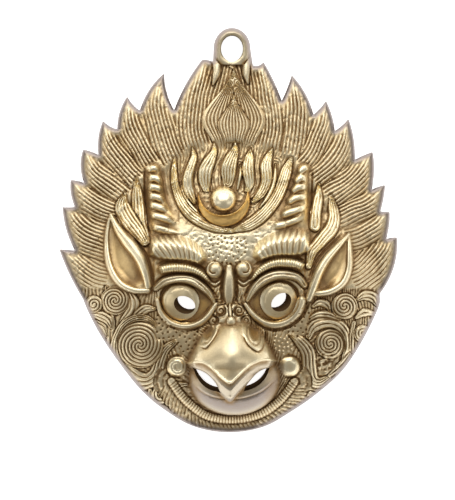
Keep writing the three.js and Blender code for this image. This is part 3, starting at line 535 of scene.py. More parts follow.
def furrows(phase, sharp=2.0):
    """Parallel carved lines: 1 on a line, 0 on top of the rounds between them."""
    return (0.5 + 0.5 * np.cos(2 * np.pi * phase)) ** sharp


def inside_polygon(points):
    inside = np.zeros(X.shape, bool)
    p = np.asarray(points, float)
    ys = Y[:, 0]
    xs = X[0]
    for (ax, ay), (bx, by) in zip(p, np.roll(p, -1, axis=0)):
        if ay == by:
            continue
        rows = np.nonzero((ys >= min(ay, by)) & (ys < max(ay, by)))[0]
        crossing = ax + (ys[rows] - ay) * (bx - ax) / (by - ay)
        inside[rows] ^= xs[None, :] > crossing[:, None]
    return inside


# The outline of the casting.
def bowed_edge(start, end, bow, count=12):
    start, end = np.array(start), np.array(end)
    chord = end - start
    outward = np.array([chord[1], -chord[0]]) / np.hypot(*chord)
    middle = (start + end) / 2 + 2 * bow * outward
    t = np.linspace(0, 1, count, endpoint=False)[:, None]
    return (1 - t) ** 2 * start + 2 * t * (1 - t) * middle + t * t * end


def outline():
    turn = np.linspace(0, math.pi, 40)
    arc_x = RING["x"] + RING["outer_x"] * np.cos(turn)
    arc_y = RING["y"] + RING["outer_y"] * np.sin(turn)
    arc = np.stack([arc_x, arc_y], 1)
    runs = [bowed_edge(RING["feet"][0], arc[0], 0), arc, bowed_edge(arc[-1], RING["feet"][1], 0)]
    corner = RING["feet"][1]
    for flame in FLAMES_LEFT:
        runs.append(bowed_edge(corner, flame["tip"], flame["bows"][0]))
        runs.append(bowed_edge(flame["tip"], flame["valley"], flame["bows"][1]))
        corner = flame["valley"]
    runs.append(smooth_line([corner] + CHEEK_LINE + [FLAMES_RIGHT[-1]["valley"]], 0.5)[:-1])
    corner = FLAMES_RIGHT[-1]["valley"]
    above = [RING["feet"][0]] + [flame["valley"] for flame in FLAMES_RIGHT[:-1]]
    for flame, upper in reversed(list(zip(FLAMES_RIGHT, above))):
        runs.append(bowed_edge(corner, flame["tip"], flame["bows"][1]))
        runs.append(bowed_edge(flame["tip"], upper, flame["bows"][0]))
        corner = upper
    return np.vstack(runs)


def rounded(line, step=0.12, radius=0.15):
    """Even steps along a closed line, with its corners worn round."""
    closed = np.vstack([line, line[:1]])
    lengths = np.concatenate([[0], np.cumsum(np.hypot(*np.diff(closed, axis=0).T))])
    marks = np.linspace(0, lengths[-1], int(lengths[-1] / step), endpoint=False)
    even = np.stack([np.interp(marks, lengths, closed[:, k]) for k in (0, 1)], 1)
    reach = int(3 * radius / step) + 1
    offsets = np.arange(-reach, reach + 1)
    weights = np.exp(-0.5 * (offsets * step / radius) ** 2)
    weights /= weights.sum()
    return sum(w * np.roll(even, -k, axis=0) for k, w in zip(offsets, weights))


# Heights of the bare form.
def egg(size, x=X, y=Y):
    reach = np.where(y > size["y"], size["up"], size["down"])
    radial = np.hypot((x - size["x"]) / size["half"], (y - size["y"]) / reach)
    return size["height"] * np.clip(1 - radial ** size["full"], 0, None) ** size["round"]


def crown_slope():
    radial = np.hypot((X - CROWN["x"]) / CROWN["half"], (Y - CROWN["y"]) / CROWN["up"])
    return CROWN["edge"] + CROWN["slope"] * np.clip(1 - radial, 0, None)


GROUND = np.maximum(EDGE_HEIGHT, soft_max(crown_slope(), egg(HEAD), 1.5))
Z = GROUND.copy()
WARM = np.zeros(X.shape)
# Brown patina in the cuts, with painted shade at the chin's foot and the lip ends added to it.
DIRT_AND_SHADE = np.zeros(X.shape)
# Painted reflection: a mauve-grey colour on the chin and lips; the rim is greyer too.
GREY_REFLECTION_AND_RIM = np.zeros(X.shape)
# Painted highlight: a paler base colour on the bare skin, the second row of flames and the locks.
PAINTED_HIGHLIGHT = np.zeros(X.shape)

EDGE = rounded(outline())
INSIDE = inside_polygon(EDGE)


def edge_distance():
    """Distance to the outline, positive inside, and the nearest place on it."""
    reach = 1.6
    away = np.full(X.shape, reach)
    near_x, near_y = X.copy(), Y.copy()
    for a, b in zip(EDGE, np.roll(EDGE, -1, axis=0)):
        size = np.hypot(*(b - a))
        k0, k1 = span(min(a[0], b[0]) - reach, max(a[0], b[0]) + reach, -HALF_X, COLUMNS)
        m0, m1 = span(min(a[1], b[1]) - reach, max(a[1], b[1]) + reach, -HALF_Y, ROWS)
        here = np.s_[m0:m1, k0:k1]
        x, y = X[here] - a[0], Y[here] - a[1]
        dx, dy = (b - a) / size
        t = np.clip(x * dx + y * dy, 0, size)
        d = np.hypot(x - t * dx, y - t * dy)
        better = d < away[here]
        away[here] = np.where(better, d, away[here])
        near_x[here] = np.where(better, a[0] + t * dx, near_x[here])
        near_y[here] = np.where(better, a[1] + t * dy, near_y[here])
    return np.where(INSIDE, away, -away), near_x, near_y


REACH, NEAR_X, NEAR_Y = edge_distance()


# Carver's strokes. Each changes the sheet in place.
def distance(x, y):
    """How far each place of the sheet is from a point."""
    return np.hypot(X - x, Y - y)


def bump(away, width, power=2):
    """1 at no distance, and nearly nothing from two widths on."""
    return np.exp(-(away / width) ** power)


def patch(points, soften):
    """1 in a polygon and 0 outside it, soft at its edge."""
    return blur(inside_polygon(points).astype(float), soften)


def lay_over(level, cover, w=np.s_[:]):
    """The sheet takes a new level as far as cover says."""
    Z[w] = Z[w] * (1 - cover) + level * cover


def at_least(sheet, value, w=np.s_[:]):
    sheet[w] = np.maximum(sheet[w], value)


def step_down(away, steps):
    """How far rounded steps, each a depth, a start and a run, have gone down."""
    return sum(depth * ease((away - start) / run) for depth, start, run in steps)


def band(points, half, rise, strands=0, depth=STRAND_DEPTH, cut=0.22, round_off=2.0):
    """A raised band with strands along it, cut round its edges. It lies over what was there."""
    w, side, share, _ = trace(smooth_line(points), max(half) + 0.5)
    width = spread(half, share)
    u = side / width
    height = spread(rise, share) * np.clip(1 - np.abs(u) ** round_off, 0, 1) ** 0.5
    if strands:
        lines = furrows((u + 1) / 2 * strands + STRAND_WAVER * WAVER[w])
        height -= depth * (1 + DEPTH_WAVER * FINE_WAVER[w]) * lines * ease(3 * (1 - np.abs(u)))
    beside = cut * bump(np.abs(side) - width, CUT_WIDTH)
    Z[w] = np.where(np.abs(u) < 1, GROUND[w] + height, Z[w] - beside)


def ridge(points, half, rise):
    """A smooth ridge that stands out of the sheet where it is higher."""
    w, side, share, _ = trace(smooth_line(points), max(half) + 0.1)
    u = side / spread(half, share)
    Z[w] = np.where(np.abs(u) < 1, np.maximum(Z[w], GROUND[w] + spread(rise, share) * dome(u)), Z[w])


def groove(points, width, depth):
    """A rounded groove, shallower towards its ends."""
    w, side, share, _ = trace(smooth_line(points), 3 * width)
    fade = ease(share * 12) * ease((1 - share) * 12)
    Z[w] -= depth * bump(side, width) * (0.35 + 0.65 * fade)


def raise_line(points, width, height):
    groove(points, width, -height)


def plate(points, rise, soften):
    """A flat raised or sunken patch with soft edges."""
    Z[:] += rise * patch(points, soften)


def mound(x, y, radius, base, rise):
    """A round hill that stands out of the sheet where it is higher."""
    away = distance(x, y)
    Z[:] = np.where(away < radius, np.maximum(Z, GROUND + base + rise * dome(away / radius)), Z)


def tongues():
    """Crown flames. Each place belongs to the tongue whose middle line it is nearest to."""
    nearest = np.full(X.shape, 9.0)
    body = np.zeros(X.shape)
    lines = np.zeros(X.shape)
    for number, flame in enumerate(FLAMES_LEFT + FLAMES_RIGHT):
        w, side, share, _ = trace(smooth_line(flame["line"]), TONGUE["reach"])
        u = np.abs(side) / spread(flame["half"], share)
        own = u < nearest[w]
        drift = side + TONGUE["waver"] * WAVER[w] + TONGUE["shift"] * number
        cuts = furrows(drift / STRAND_PITCH) * (1 + TONGUE["depth_waver"] * CUT_WAVER[w]) * ease(share * 30)
        body[w] = np.where(own, TONGUE["rise"] * (1 - np.clip(u, 0, 1.2) ** 2), body[w])
        lines[w] = np.where(own, cuts, lines[w])
        nearest[w] = np.where(own, u, nearest[w])
    DIRT_AND_SHADE[:] = TONGUE["darkening"]
    fade = ease((REACH - TONGUE["bare_rim"]) / TONGUE["fade"])
    grains = TONGUE["grain"] * ROUGH * (ROUGH > 0.3)
    Z[:] = GROUND + body * fade - STRAND_DEPTH * DEPTH_SHARE["crown"] * lines * fade - grains


def bud():
    """The middle flame: pointed leaves, one inside the other."""
    for bottom, top, half, rise, lines, peak in BUD_LEAVES:
        up = np.clip((Y - bottom) / (top - bottom), 1e-4, 1)
        above = np.clip((up - peak) / (1 - peak), 0, 1)
        foot = BUD_FOOT + (1 - BUD_FOOT) * ease(up / peak)
        swell = np.where(up < peak, foot, 0.5 + 0.5 * np.cos(math.pi * above ** 0.85))
        u = (X - BUD_X) / np.maximum(half * swell, 1e-3)
        inside = (np.abs(u) < 1) & (Y > bottom) & (Y < top)
        height = rise * np.clip(1 - np.abs(u) ** 2.4, 0, 1) ** 0.5 * ease((top - Y) / 1.5)
        cuts = furrows(u * lines + 0.5 + 0.15 * WAVER) * ease((1 - np.abs(u)) * 5)
        height -= STRAND_DEPTH * DEPTH_SHARE["bud"] * cuts
        Z[:] = np.where(inside, GROUND + height, Z)


def forehead():
    """A sunken ground of fine hair with the second row of flames over it, and bare skin."""
    hair = FOREHEAD_HAIR
    area = patch(smooth_line(FOREHEAD, closed=True), hair["soften"])
    flow = np.zeros(X.shape)
    nearest = np.full(X.shape, 99.0)
    for points, half, count in CURL_FLAMES:
        w, side, _, _ = trace(smooth_line(points), 2.6)
        closer = np.abs(side) < nearest[w]
        flow[w] = np.where(closer, furrows(side / hair["pitch"] + 0.25 * WAVER[w]), flow[w])
        nearest[w] = np.where(closer, np.abs(side), nearest[w])
    lay_over(GROUND - hair["sink"] - hair["depth"] * flow + hair["grain"] * ROUGH, area)
    DIRT_AND_SHADE[:] = DIRT_AND_SHADE * (1 - area) + hair["darkening"] * area
    # The bare skin loses its brown and gets a painted highlight: a paler base colour.
    DIRT_AND_SHADE[:] *= 1 - patch(smooth_line(BARE_SKIN, closed=True), 0.5)
    at_least(PAINTED_HIGHLIGHT, patch(BARE_SKIN, 0.5))
    for points, half, count in CURL_FLAMES:
        band(points, half, CURL_RISE, count, CURL_DEPTH, cut=CURL_CUT)
        clear_and_highlight(points, half)


def clear_and_highlight(points, half):
    """This band is kept free of brown patina, and gets a painted highlight: its base colour turns a little
    paler.
    """
    w, side, share, _ = trace(smooth_line(points), max(half) + 0.1)
    on_it = np.abs(side) < spread(half, share)
    DIRT_AND_SHADE[w] = np.where(on_it, 0, DIRT_AND_SHADE[w])
    at_least(PAINTED_HIGHLIGHT, 0.35 * on_it, w)


def jewel():
    """A ball on the forehead, in a crescent moon with a raised inner lip."""
    ball = distance(JEWEL["x"], JEWEL["y"])
    on_ball = ball < JEWEL["radius"]
    inner = distance(*MOON["inner"][:2]) - MOON["inner"][2]
    outer = distance(*MOON["outer"][:2]) - MOON["outer"][2]
    cup = (outer < 0) & (Y < MOON["top"])
    Z[:] = np.where(cup & (inner < 0), GROUND - MOON["sink"] + 0.14 * ROUGH, Z)
    moon = cup & (inner > 0)
    across = np.clip(-outer / np.maximum(inner - outer, 1e-3), 0, 1)
    face = GROUND + MOON["rise"] * (0.7 + 0.3 * across) * ease(-outer / 0.3 + 0.2)
    Z[:] = np.where(moon, face, Z)
    Z[:] += MOON["lip"] * bump(inner - 0.12, 0.17) * ease((MOON["top"] - Y) / 0.8) * (outer < 0)
    Z[:] -= MOON["groove"] * bump(outer - 0.1, 0.16) * (Y < MOON["top"] - 1)
    raised = GROUND - JEWEL["sink"] + (JEWEL["rise"] + JEWEL["sink"]) * dome(ball / JEWEL["radius"])
    Z[:] = np.where(on_ball, np.maximum(Z, raised), Z)
    WARM[:] = np.where(moon, 1, WARM)
    DIRT_AND_SHADE[:] = np.where(on_ball | moon, 0, DIRT_AND_SHADE)


def horns():
    """Twisted horns: leaf-shaped ribs on a low body that runs out into the forehead."""
    for horn in HORNS:
        w, side, share, _ = trace(smooth_line(horn["line"]), 3.2)
        u = np.abs(side) / spread(horn["half"], share)
        cover = ease(3 * (1 - u)) * ease(share * 4)
        lay_over(GROUND[w] + spread(HORN["foot"], share) * ease(1.6 * (1 - u)), cover, w)
        DIRT_AND_SHADE[w] *= 1 - 0.8 * cover
        at_least(WARM, HORN["warmth"] * cover, w)
        groove(horn["outside"], *HORN["cut"])
        for rib in horn["ribs"]:
            w, side, share, _ = trace(smooth_line(rib), 1.2)
            u = side / spread(HORN["rib_half"], share)
            leaf = np.clip(1 - u * u, 0, 1)
            Z[w] += HORN["rib_rise"] * leaf ** 0.6 * ease(share * 5) * ease((1 - share) * 2.5)
            WARM[w] *= 1 - leaf


def ears():
    """Pointed ears: a bowl between a strong ridge and a thin rim."""
    for ear in EARS:
        soft = patch(smooth_line(ear["ridge"] + ear["rim"][::-1], closed=True), EAR["soften"])
        lay_over(GROUND + EAR["foot"], soft)
        w, side, share, _ = trace(smooth_line(ear["bowl"]), 2.6)
        u = np.abs(side) / spread(ear["bowl_half"], share)
        Z[w] -= EAR["bowl_depth"] * spread(EAR["bowl"], share) * ease(1.3 - u) * soft[w]
        at_least(WARM, EAR["warmth"] * ease(1.3 - u) * soft[w], w)
        deep_end = EAR["darkening"] * ease((share - 0.75) * 4) * ease(1.0 - u) * soft[w]
        DIRT_AND_SHADE[w] = np.maximum(DIRT_AND_SHADE[w] * (1 - soft[w]), deep_end)
        ridge(ear["rim"], ear["rim_half"], EAR["rim_rise"])
        ridge(ear["ridge"], ear["ridge_half"], EAR["ridge_rise"])
        groove(ear["outside"], *EAR["cut"])


def hairy(points, half, rise, pitch, lean, depth, peak=0.0):
    """A raised arch with hairs across it. They lean along it, and its crest lies off its middle."""
    w, side, share, length = trace(smooth_line(points), max(half) + 0.2)
    u = side / spread(half, share)
    v = np.where(u > peak, (u - peak) / (1 - peak), (peak - u) / (1 + peak))
    soft_side = (u > peak) if peak > 0 else (u < peak)
    body = np.where(soft_side & (peak != 0), ease(1 - v), np.clip(1 - v ** 2, 0, 1) ** 0.6)
    phase = (share * length + lean * side) / pitch + 0.3 * WAVER[w]
    cover = ease(4 * (1 - np.abs(u))) * ease(share * 9) * ease((1 - share) * 9)
    lay_over(GROUND[w] + (rise * body - depth * furrows(phase)), cover, w)
    DIRT_AND_SHADE[w] *= 1 - cover


def brows():
    """Hairy brows, the lash bands and folded lids under them, and a knob at each inner end."""
    for brow in BROWS:
        hairy(brow["arch"], brow["arch_half"], BROW["rise"], BROW["pitch"], brow["lean"],
              BROW["depth"], brow["peak"])
        band(brow["lid"], brow["lid_half"], LID_RISE, 2, BROW["depth"])
        hairy(brow["lash"], brow["lash_half"], LASH["rise"], LASH["pitch"], 0.0, LASH["depth"])
        groove(brow["groove"], *BROW["groove"])
        groove(brow["crease"], *BROW["crease"])
    for x, y, way in BROW_KNOBS:
        mound(x, y, BROW_KNOB["radius"], BROW_KNOB["foot"], BROW_KNOB["rise"])
        turn = np.linspace(0.1 * math.pi, 1.75 * math.pi, 12)
        reach = np.linspace(BROW_KNOB["radius"], BROW_KNOB["core"], 12)
        winding = [(x - way * r * math.cos(a), y + r * math.sin(a)) for a, r in zip(turn, reach)]
        groove(winding, *BROW_KNOB["cut"])
        cup = [(x - way * 1.1, y - 1.7), (x, y - 2.35), (x + way * 1.0, y - 1.6)]
        raise_line(cup, 0.25, 0.35)
        groove([(px, py - 0.4) for px, py in cup], 0.14, 0.3)
        groove([(px, py + 0.4) for px, py in cup], 0.12, 0.3)


def eyes():
    """A sunken opening between the lids, with a bulging disc in it, and the lower lid."""
    for eye in EYES:
        ring = np.array([*smooth_line(eye["upper"]), *smooth_line(eye["lower"])[::-1]])
        opening = patch(ring, EYE["soften"])
        away = distance(eye["x"], eye["y"])
        on_disc = away < EYE["radius"]
        disc = GROUND - EYE["sink"] + EYE["bulge"] * dome(away / EYE["ball"])
        disc -= 0.05 * bump(away - EYE["ring"], 0.1)
        lay_over(np.where(on_disc, disc, GROUND - EYE["sink"] - EYE["floor"]), opening)
        WARM[:] = np.where(on_disc, WARM * (1 - opening), np.maximum(WARM, opening))
        cleaned = DIRT_AND_SHADE * (1 - opening)
        DIRT_AND_SHADE[:] = np.where(on_disc, cleaned, np.maximum(cleaned, EYE["darkening"] * opening))
        outer = [(px + 0.13 * (px - eye["x"]), py + 0.15 * (py - eye["y"])) for px, py in eye["lower"]]
        ridge(outer, eye["lid_half"], eye["lid_rise"])
        for line in ("lower", "upper", "under"):
            groove(eye[line], *EYE[line])


def nose():
    """The bar between the eyes, with a stem and a bead under it, and curls beside them."""
    mound(**NOSE_BRIDGE)
    band(**NOSE_BAR)
    for side in (-1, 1):
        for number, (points, width, depth) in enumerate([NOSE_SIDE] + NOSE_GROOVES):
            groove([(side * x, y) for x, y in points], width, depth)
            if number == 0:
                for x, y, radius, pitch, wind, start, rise in NOSE_CURLS:
                    spiral(side * x + NOSE_MIDDLE, y, radius, pitch, side * wind, start, rise)
    band(**NOSE_STEM)
    bead = np.hypot((X - NOSE_BEAD["x"]) / NOSE_BEAD["half_x"], (Y - NOSE_BEAD["y"]) / NOSE_BEAD["half_y"])
    raised = GROUND + NOSE_BEAD["foot"] + NOSE_BEAD["rise"] * dome(bead)
    Z[:] = np.where(bead < 1, np.maximum(Z, raised), Z)
    at_least(DIRT_AND_SHADE, 0.4 * np.exp(-((X / 3.0) ** 2 + ((Y + 12.8) / 2.4) ** 2)))


def beak_heights(below):
    """The crest, its flanks, the beaded edge, and the lip that steps back under it."""
    along = np.clip((BEAK["top"] - Y) / (BEAK["top"] - BEAK["tip"]), 0, 1)
    half = BEAK["half_top"] + (BEAK["half_low"] - BEAK["half_top"]) * along
    bend = np.minimum(BEAK["bend_end"], along * BEAK["bend_rate"] + BEAK["bend_start"])
    crest = BEAK["shoulder"] + (BEAK["peak"] - BEAK["shoulder"]) * np.sin(math.pi * bend)
    across = np.abs(X - BEAK["x"]) / (half - BEAK["narrowing"] * np.clip(below, 0, 3))
    flank = crest - BEAK["drop"] * across ** BEAK["drop_power"]
    flank -= BEAK["side_drop"] * np.clip(across - BEAK["side"], 0, None)
    flank += EDGE_BEAD["rise"] * bump(below + EDGE_BEAD["above"], EDGE_BEAD["width"])
    lip_end = ease((np.abs(X - LIP_ENDS["x"]) - LIP_ENDS["half"]) / LIP_ENDS["run"])
    flank -= LIP_ENDS["drop"] * lip_end * ease((below - 0.6) / 0.6)
    flank -= step_down(below, LIP_STEPS)
    return flank - step_down(Y - BEAK["top"], ROOT_STEPS)


def beak():
    """The hooked beak over the lips and the round chin. Hands keep it bright. The chin and lips get a
    painted mauve-grey reflection, and painted shade darkens the chin's foot and the lip ends.
    """
    below = blur(np.interp(X, *smooth_line(BEAK_EDGE).T), 0.15) - Y
    flank = beak_heights(below)
    swell = egg(CHIN)
    Z[:] = soft_max(Z, np.where(swell > 0, CHIN_FOOT + swell, 0), 0.25)
    bare = blur(((flank > Z) | (swell > 0.4)).astype(float), 0.15)
    Z[:] = soft_max(Z, flank, 0.3)
    for points, width, height in SMILE:
        raise_line(points, width, height)
    DIRT_AND_SHADE[:] = DIRT_AND_SHADE * (1 - bare) + 0.3 * bare
    chin = Y < CHIN_LINE["y"] + CHIN_LINE["bend"] * (X - CHIN_LINE["x"]) ** 2
    lip = blur(((below > 0.15) & (~chin) & (swell > 0.8)).astype(float), 0.12)
    lip_side = ease((np.abs(X - LIP_ENDS["x"]) - 3.8) / 2.4) * ease((below - 0.9) / 0.6) * (swell > 0)
    # Painted reflection: the chin and the lip band take a mauve-grey colour for the cool light they
    # reflect.
    at_least(GREY_REFLECTION_AND_RIM, 0.95 * blur((chin & (swell > 0.8)).astype(float), 0.4))
    at_least(GREY_REFLECTION_AND_RIM, 0.55 * lip)
    # Painted shade: the chin darkens towards its foot, and the lips towards their ends beside the beak.
    at_least(DIRT_AND_SHADE, 0.9 * bump(swell - 0.2, 0.9) * (swell > 0) * chin)
    at_least(DIRT_AND_SHADE, 0.9 * lip_side)
    at_least(DIRT_AND_SHADE, 0.35 * lip)


def nostrils():
    """Folded flaps with warm dark pockets on the root of the beak."""
    for side in NOSTRILS:
        plate(side["flap"], *NOSTRIL["flap"])
        plate(side["pocket"], *NOSTRIL["pocket"])
        groove(side["line"], *NOSTRIL["line"])
        groove(side["fold"], *NOSTRIL["fold"])
        at_least(WARM, patch(side["pocket"], NOSTRIL["warm_edge"]))


def spiral(x, y, radius, pitch, wind, start, rise):
    """A flat curl of spiral strands, more of them where it is larger."""
    away = distance(x, y)
    arms = max(1, round(radius / 1.2))
    phase = away / pitch - (np.arctan2(Y - y, X - x) * wind - start) / (2 * math.pi) * arms
    height = rise * np.clip(1 - (away / radius) ** 3, 0, 1) ** 0.5
    cuts = furrows(phase + 0.1 * WAVER) * ease((radius - away) / 0.3) * ease(away / 0.3)
    height -= STRAND_DEPTH * DEPTH_SHARE["spiral"] * cuts
    Z[:] = np.where(away < radius, GROUND + height, Z - 0.2 * bump(away - radius, CUT_WIDTH))


def cheeks():
    """Loose strands fill the cheeks first, then the locks and curls lie over them."""
    cheek = blur(((Y < CHEEK_TOP) & (egg(HEAD) > 0)).astype(float), 0.2)
    angle = np.arctan2(Y - LOOSE_HAIR_Y, np.abs(X))
    flow = distance(0, LOOSE_HAIR_Y) + 1.4 * np.sin(3 * angle + 0.35 * X) + 0.8 * WAVER
    lay_over(GROUND - STRAND_DEPTH * furrows(flow / STRAND_PITCH) - 0.1 * ROUGH, cheek)
    for points, half, count, rise in BEARD:
        band(points, half, [0.6 * rise] + [rise] * 3 + [0.6 * rise], count, BEARD_DEPTH)
    for curl in SPIRALS:
        spiral(*curl)
    for polygon in PITTED[1:] + [PEBBLED]:
        lay_over(GROUND, patch(polygon, 0.25))
    x, y, radius = ROUGH_PATCH
    rough = bump(distance(x, y), radius, 4)
    Z[:] -= rough * (0.2 + 0.25 * ROUGH)
    at_least(DIRT_AND_SHADE, 0.6 * rough)


def collar():
    """A hatched cord under the chin, with short hairs from it to the rim."""
    w, side, share, length = trace(smooth_line(COLLAR), 3.2)
    outward = -side / COLLAR_HALF
    hatch = furrows(share * length / COLLAR_PITCH + 0.25 * WAVER[w], 1.2)
    hairs = furrows((share * length + FRINGE["lean"] * side) / FRINGE["pitch"] + 0.5 * WAVER[w])
    cord = COLLAR_RISE * np.clip(1 - np.abs(outward) ** 2.4, 0, 1) ** 0.5 - 0.28 * hatch
    in_fringe = (outward > 1) & (np.abs(side) < FRINGE["reach"])
    fringe = np.where(in_fringe, GROUND[w] - FRINGE["depth"] * hairs - 0.12 * ROUGH[w], Z[w])
    Z[w] = np.where(np.abs(outward) < 1, GROUND[w] + cord, fringe)
    Z[w] -= 0.22 * bump(np.abs(outward) - 1.05, 0.18)


def mouth_corners():
    """Round knobs at both ends of the mouth, one with a spiral on it."""
    for x, y, radius, turns in MOUTH_KNOBS:
        away = distance(x, y)
        phase = away / 0.55 - np.arctan2(Y - y, X - x) / (2 * math.pi)
        height = 0.1 + 0.55 * ease(1.6 * (1 - away / radius))
        height -= 0.14 * turns * furrows(phase) * ease(away / 0.4)
        lay_over(GROUND + height, blur((away < radius).astype(float), 0.1))
        outer_side = ease(((X - x) * np.sign(x) + 1.2) / 1.0)
        Z[:] -= 0.35 * bump(away - radius - 0.08, 0.18) * outer_side
        DIRT_AND_SHADE[:] = np.where(away < radius, 0, DIRT_AND_SHADE)


def pits():
    rng = np.random.default_rng(SEED)
    for polygon in PITTED:
        for x, y in scatter(rng, polygon, PIT_GAP):
            pock(x, y, rng.uniform(0.13, 0.18), PIT_DEPTH)
    for x, y in scatter(rng, PEBBLED, PEBBLE_GAP):
        pock(x, y, 0.18, -PEBBLE_RISE)


def scatter(rng, polygon, gap):
    """Seeded spots in a polygon, none nearer to another than the gap."""
    p = np.array(polygon)
    region = inside_polygon(p)
    spots = []
    for _ in range(1600):
        x, y = rng.uniform(p.min(0), p.max(0))
        row, column = int((y + HALF_Y) / SAMPLE), int((x + HALF_X) / SAMPLE)
        if region[row, column] and all(math.hypot(x - a, y - b) > gap for a, b in spots):
            spots.append((x, y))
    return spots


def pock(x, y, radius, depth):
    """One pit with dirt in it, or a pebble where the depth is negative."""
    c0, c1 = span(x - 3 * radius, x + 3 * radius, -HALF_X, COLUMNS)
    r0, r1 = span(y - 3 * radius, y + 3 * radius, -HALF_Y, ROWS)
    w = np.s_[r0:r1, c0:c1]
    hollow = bump(np.hypot(X[w] - x, Y[w] - y), radius, 4)
    Z[w] -= depth * hollow
    at_least(DIRT_AND_SHADE, np.sign(depth) * hollow, w)


def ring_and_legs():
    """The cast-on ring with a rounded face, and the two legs that it stands on."""
    above = Y > 26.4
    Z[:] = np.where(above & (np.abs(X - RING["x"]) < 3.3), EDGE_HEIGHT, Z)
    for leg in RING_LEGS:
        band(leg, [0.65, 0.65, 0.6, 0.15], [0.2, 0.8, 0.8, 0.5], cut=0.3)
    radial = np.hypot((X - RING["x"]) / RING_BAND["mid_x"], (Y - RING["y"] + 0.05) / RING_BAND["mid_y"])
    away = np.abs(radial - 1) * 2.4
    face = EDGE_HEIGHT + 0.2 + RING_BAND["rise"] * dome(away / RING_BAND["half"])
    Z[:] = np.where(above & (away < RING_BAND["half"]), face, Z)


def locks():
    for points, half, count in LOCKS:
        band(points, half, LOCK_RISE, count, LOCK_DEPTH)
        clear_and_highlight(points, half)


def carve():
    """The strokes in their order: a later one lies over an earlier one."""
    strokes = (
        tongues, bud, ring_and_legs, cheeks, forehead, jewel, locks, horns, ears,
        brows, nose, eyes, collar, mouth_corners, beak, nostrils, pits,
    )
    for stroke in strokes:
        stroke()


carve()

# Near the rim the relief fades and the edge is worn round.
margin = ease(REACH / 0.9)
Z[:] = GROUND * (1 - margin) + Z * margin
worn = np.clip(EDGE_ROUND - REACH, 0, EDGE_ROUND)
Z[:] -= EDGE_ROUND - np.sqrt(np.clip(EDGE_ROUND ** 2 - worn ** 2, 0, None))
Z[:] = np.minimum(Z + 0.02 * FINE_WAVER, cad_box[1][2] / MM - 0.02)
SLOPE = np.hypot(*np.gradient(Z, SAMPLE))

# The rim is silvery grey. Brown patina sits where the sheet is lower than its surroundings, near and wide,
# together with the painted shade at the chin's foot and the lip ends; what stands out is polished, and the
# painted highlight is added to it.
at_least(GREY_REFLECTION_AND_RIM, ease((0.95 - REACH) / 0.5))
cuts = np.clip((blur(Z, 0.3) - Z) / 0.12, 0, 1)
hollows = np.clip((blur(Z, 1.0) - Z) / 0.9, 0, 1)
OXIDE_AND_SHADE = cuts * 0.75 + hollows * 0.2 + 0.5 * DIRT_AND_SHADE
OXIDE_AND_SHADE *= (1 - 0.5 * PAINTED_HIGHLIGHT) * ease(REACH / 0.6)
POLISH_AND_HIGHLIGHT = np.maximum(np.clip((Z - blur(Z, 0.5)) / 0.2, 0, 1), 0.9 * PAINTED_HIGHLIGHT)


# The mesh: the sheet, trimmed, walled, hollowed and pierced.
def sample(sheet, x, y):
    column = np.clip((x + HALF_X) / SAMPLE, 0, COLUMNS - 1.001)
    row = np.clip((y + HALF_Y) / SAMPLE, 0, ROWS - 1.001)
    c, r = column.astype(int), row.astype(int)
    fc, fr = column - c, row - r
    low = sheet[r, c] * (1 - fc) + sheet[r, c + 1] * fc
    high = sheet[r + 1, c] * (1 - fc) + sheet[r + 1, c + 1] * fc
    return low * (1 - fr) + high * fr


def trimmed_sheet():
    """Vertices and triangles of the front, with its border exactly on the outline."""
    on_edge = np.abs(REACH) < 0.55 * SAMPLE
    x, y = np.where(on_edge, NEAR_X, X), np.where(on_edge, NEAR_Y, Y)
    sign = np.where(on_edge, 0, np.sign(REACH)).astype(int)
    index = np.arange(x.size).reshape(x.shape)
    corners = [index[:-1, :-1], index[:-1, 1:], index[1:, 1:], index[1:, :-1]]
    signs = [sign.ravel()[c] for c in corners]
    outside = sum((s < 0).astype(int) for s in signs)
    inner = sum((s > 0).astype(int) for s in signs)
    a, b, c, d = corners
    whole = (outside == 0) & (inner > 0)
    triangles = [np.stack([a, b, c], -1)[whole], np.stack([a, c, d], -1)[whole]]
    for k in range(4):
        lost = (signs[k] < 0) & (outside == 1) & (inner > 0)
        rest = [corners[(k + n) % 4] for n in (1, 2, 3)]
        triangles.append(np.stack(rest, -1)[lost])
    faces = np.vstack(triangles)
    used, faces = np.unique(faces, return_inverse=True)
    faces = faces.reshape(-1, 3)
    x, y = x.ravel()[used], y.ravel()[used]
    return np.stack([x, y, sample(Z, x, y)], 1), faces


def new_mesh(name, vertices, faces):
    mesh = bpy.data.meshes.new(name)
    mesh.from_pydata(vertices.tolist(), [], faces.tolist())
    mesh.update()
    piece = bpy.data.objects.new(name, mesh)
    bpy.context.scene.collection.objects.link(piece)
    pick(piece)
    return piece


def pick(piece):
    bpy.ops.object.select_all(action="DESELECT")
    piece.select_set(True)
    bpy.context.view_layer.objects.active = piece


def wall_down(piece):
    """The border of the sheet is pulled down to the back in steps and closed."""
    bpy.ops.object.mode_set(mode="EDIT")
    bpy.ops.mesh.select_mode(type="EDGE")
    bpy.ops.mesh.select_all(action="SELECT")
    bpy.ops.mesh.remove_doubles(threshold=0.004)
    bpy.ops.mesh.select_all(action="DESELECT")
    bpy.ops.mesh.select_non_manifold(
        extend=False, use_wire=False, use_boundary=True,
        use_multi_face=False, use_non_contiguous=False, use_verts=False,
    )
    for level in WALL_LEVELS:
        bpy.ops.mesh.extrude_edges_move()
        bpy.ops.transform.resize(value=(1, 1, 0), center_override=(0, 0, level))
    bpy.ops.mesh.fill()
    bpy.ops.mesh.select_all(action="SELECT")
    bpy.ops.mesh.normals_make_consistent(inside=False)
    bpy.ops.object.mode_set(mode="OBJECT")


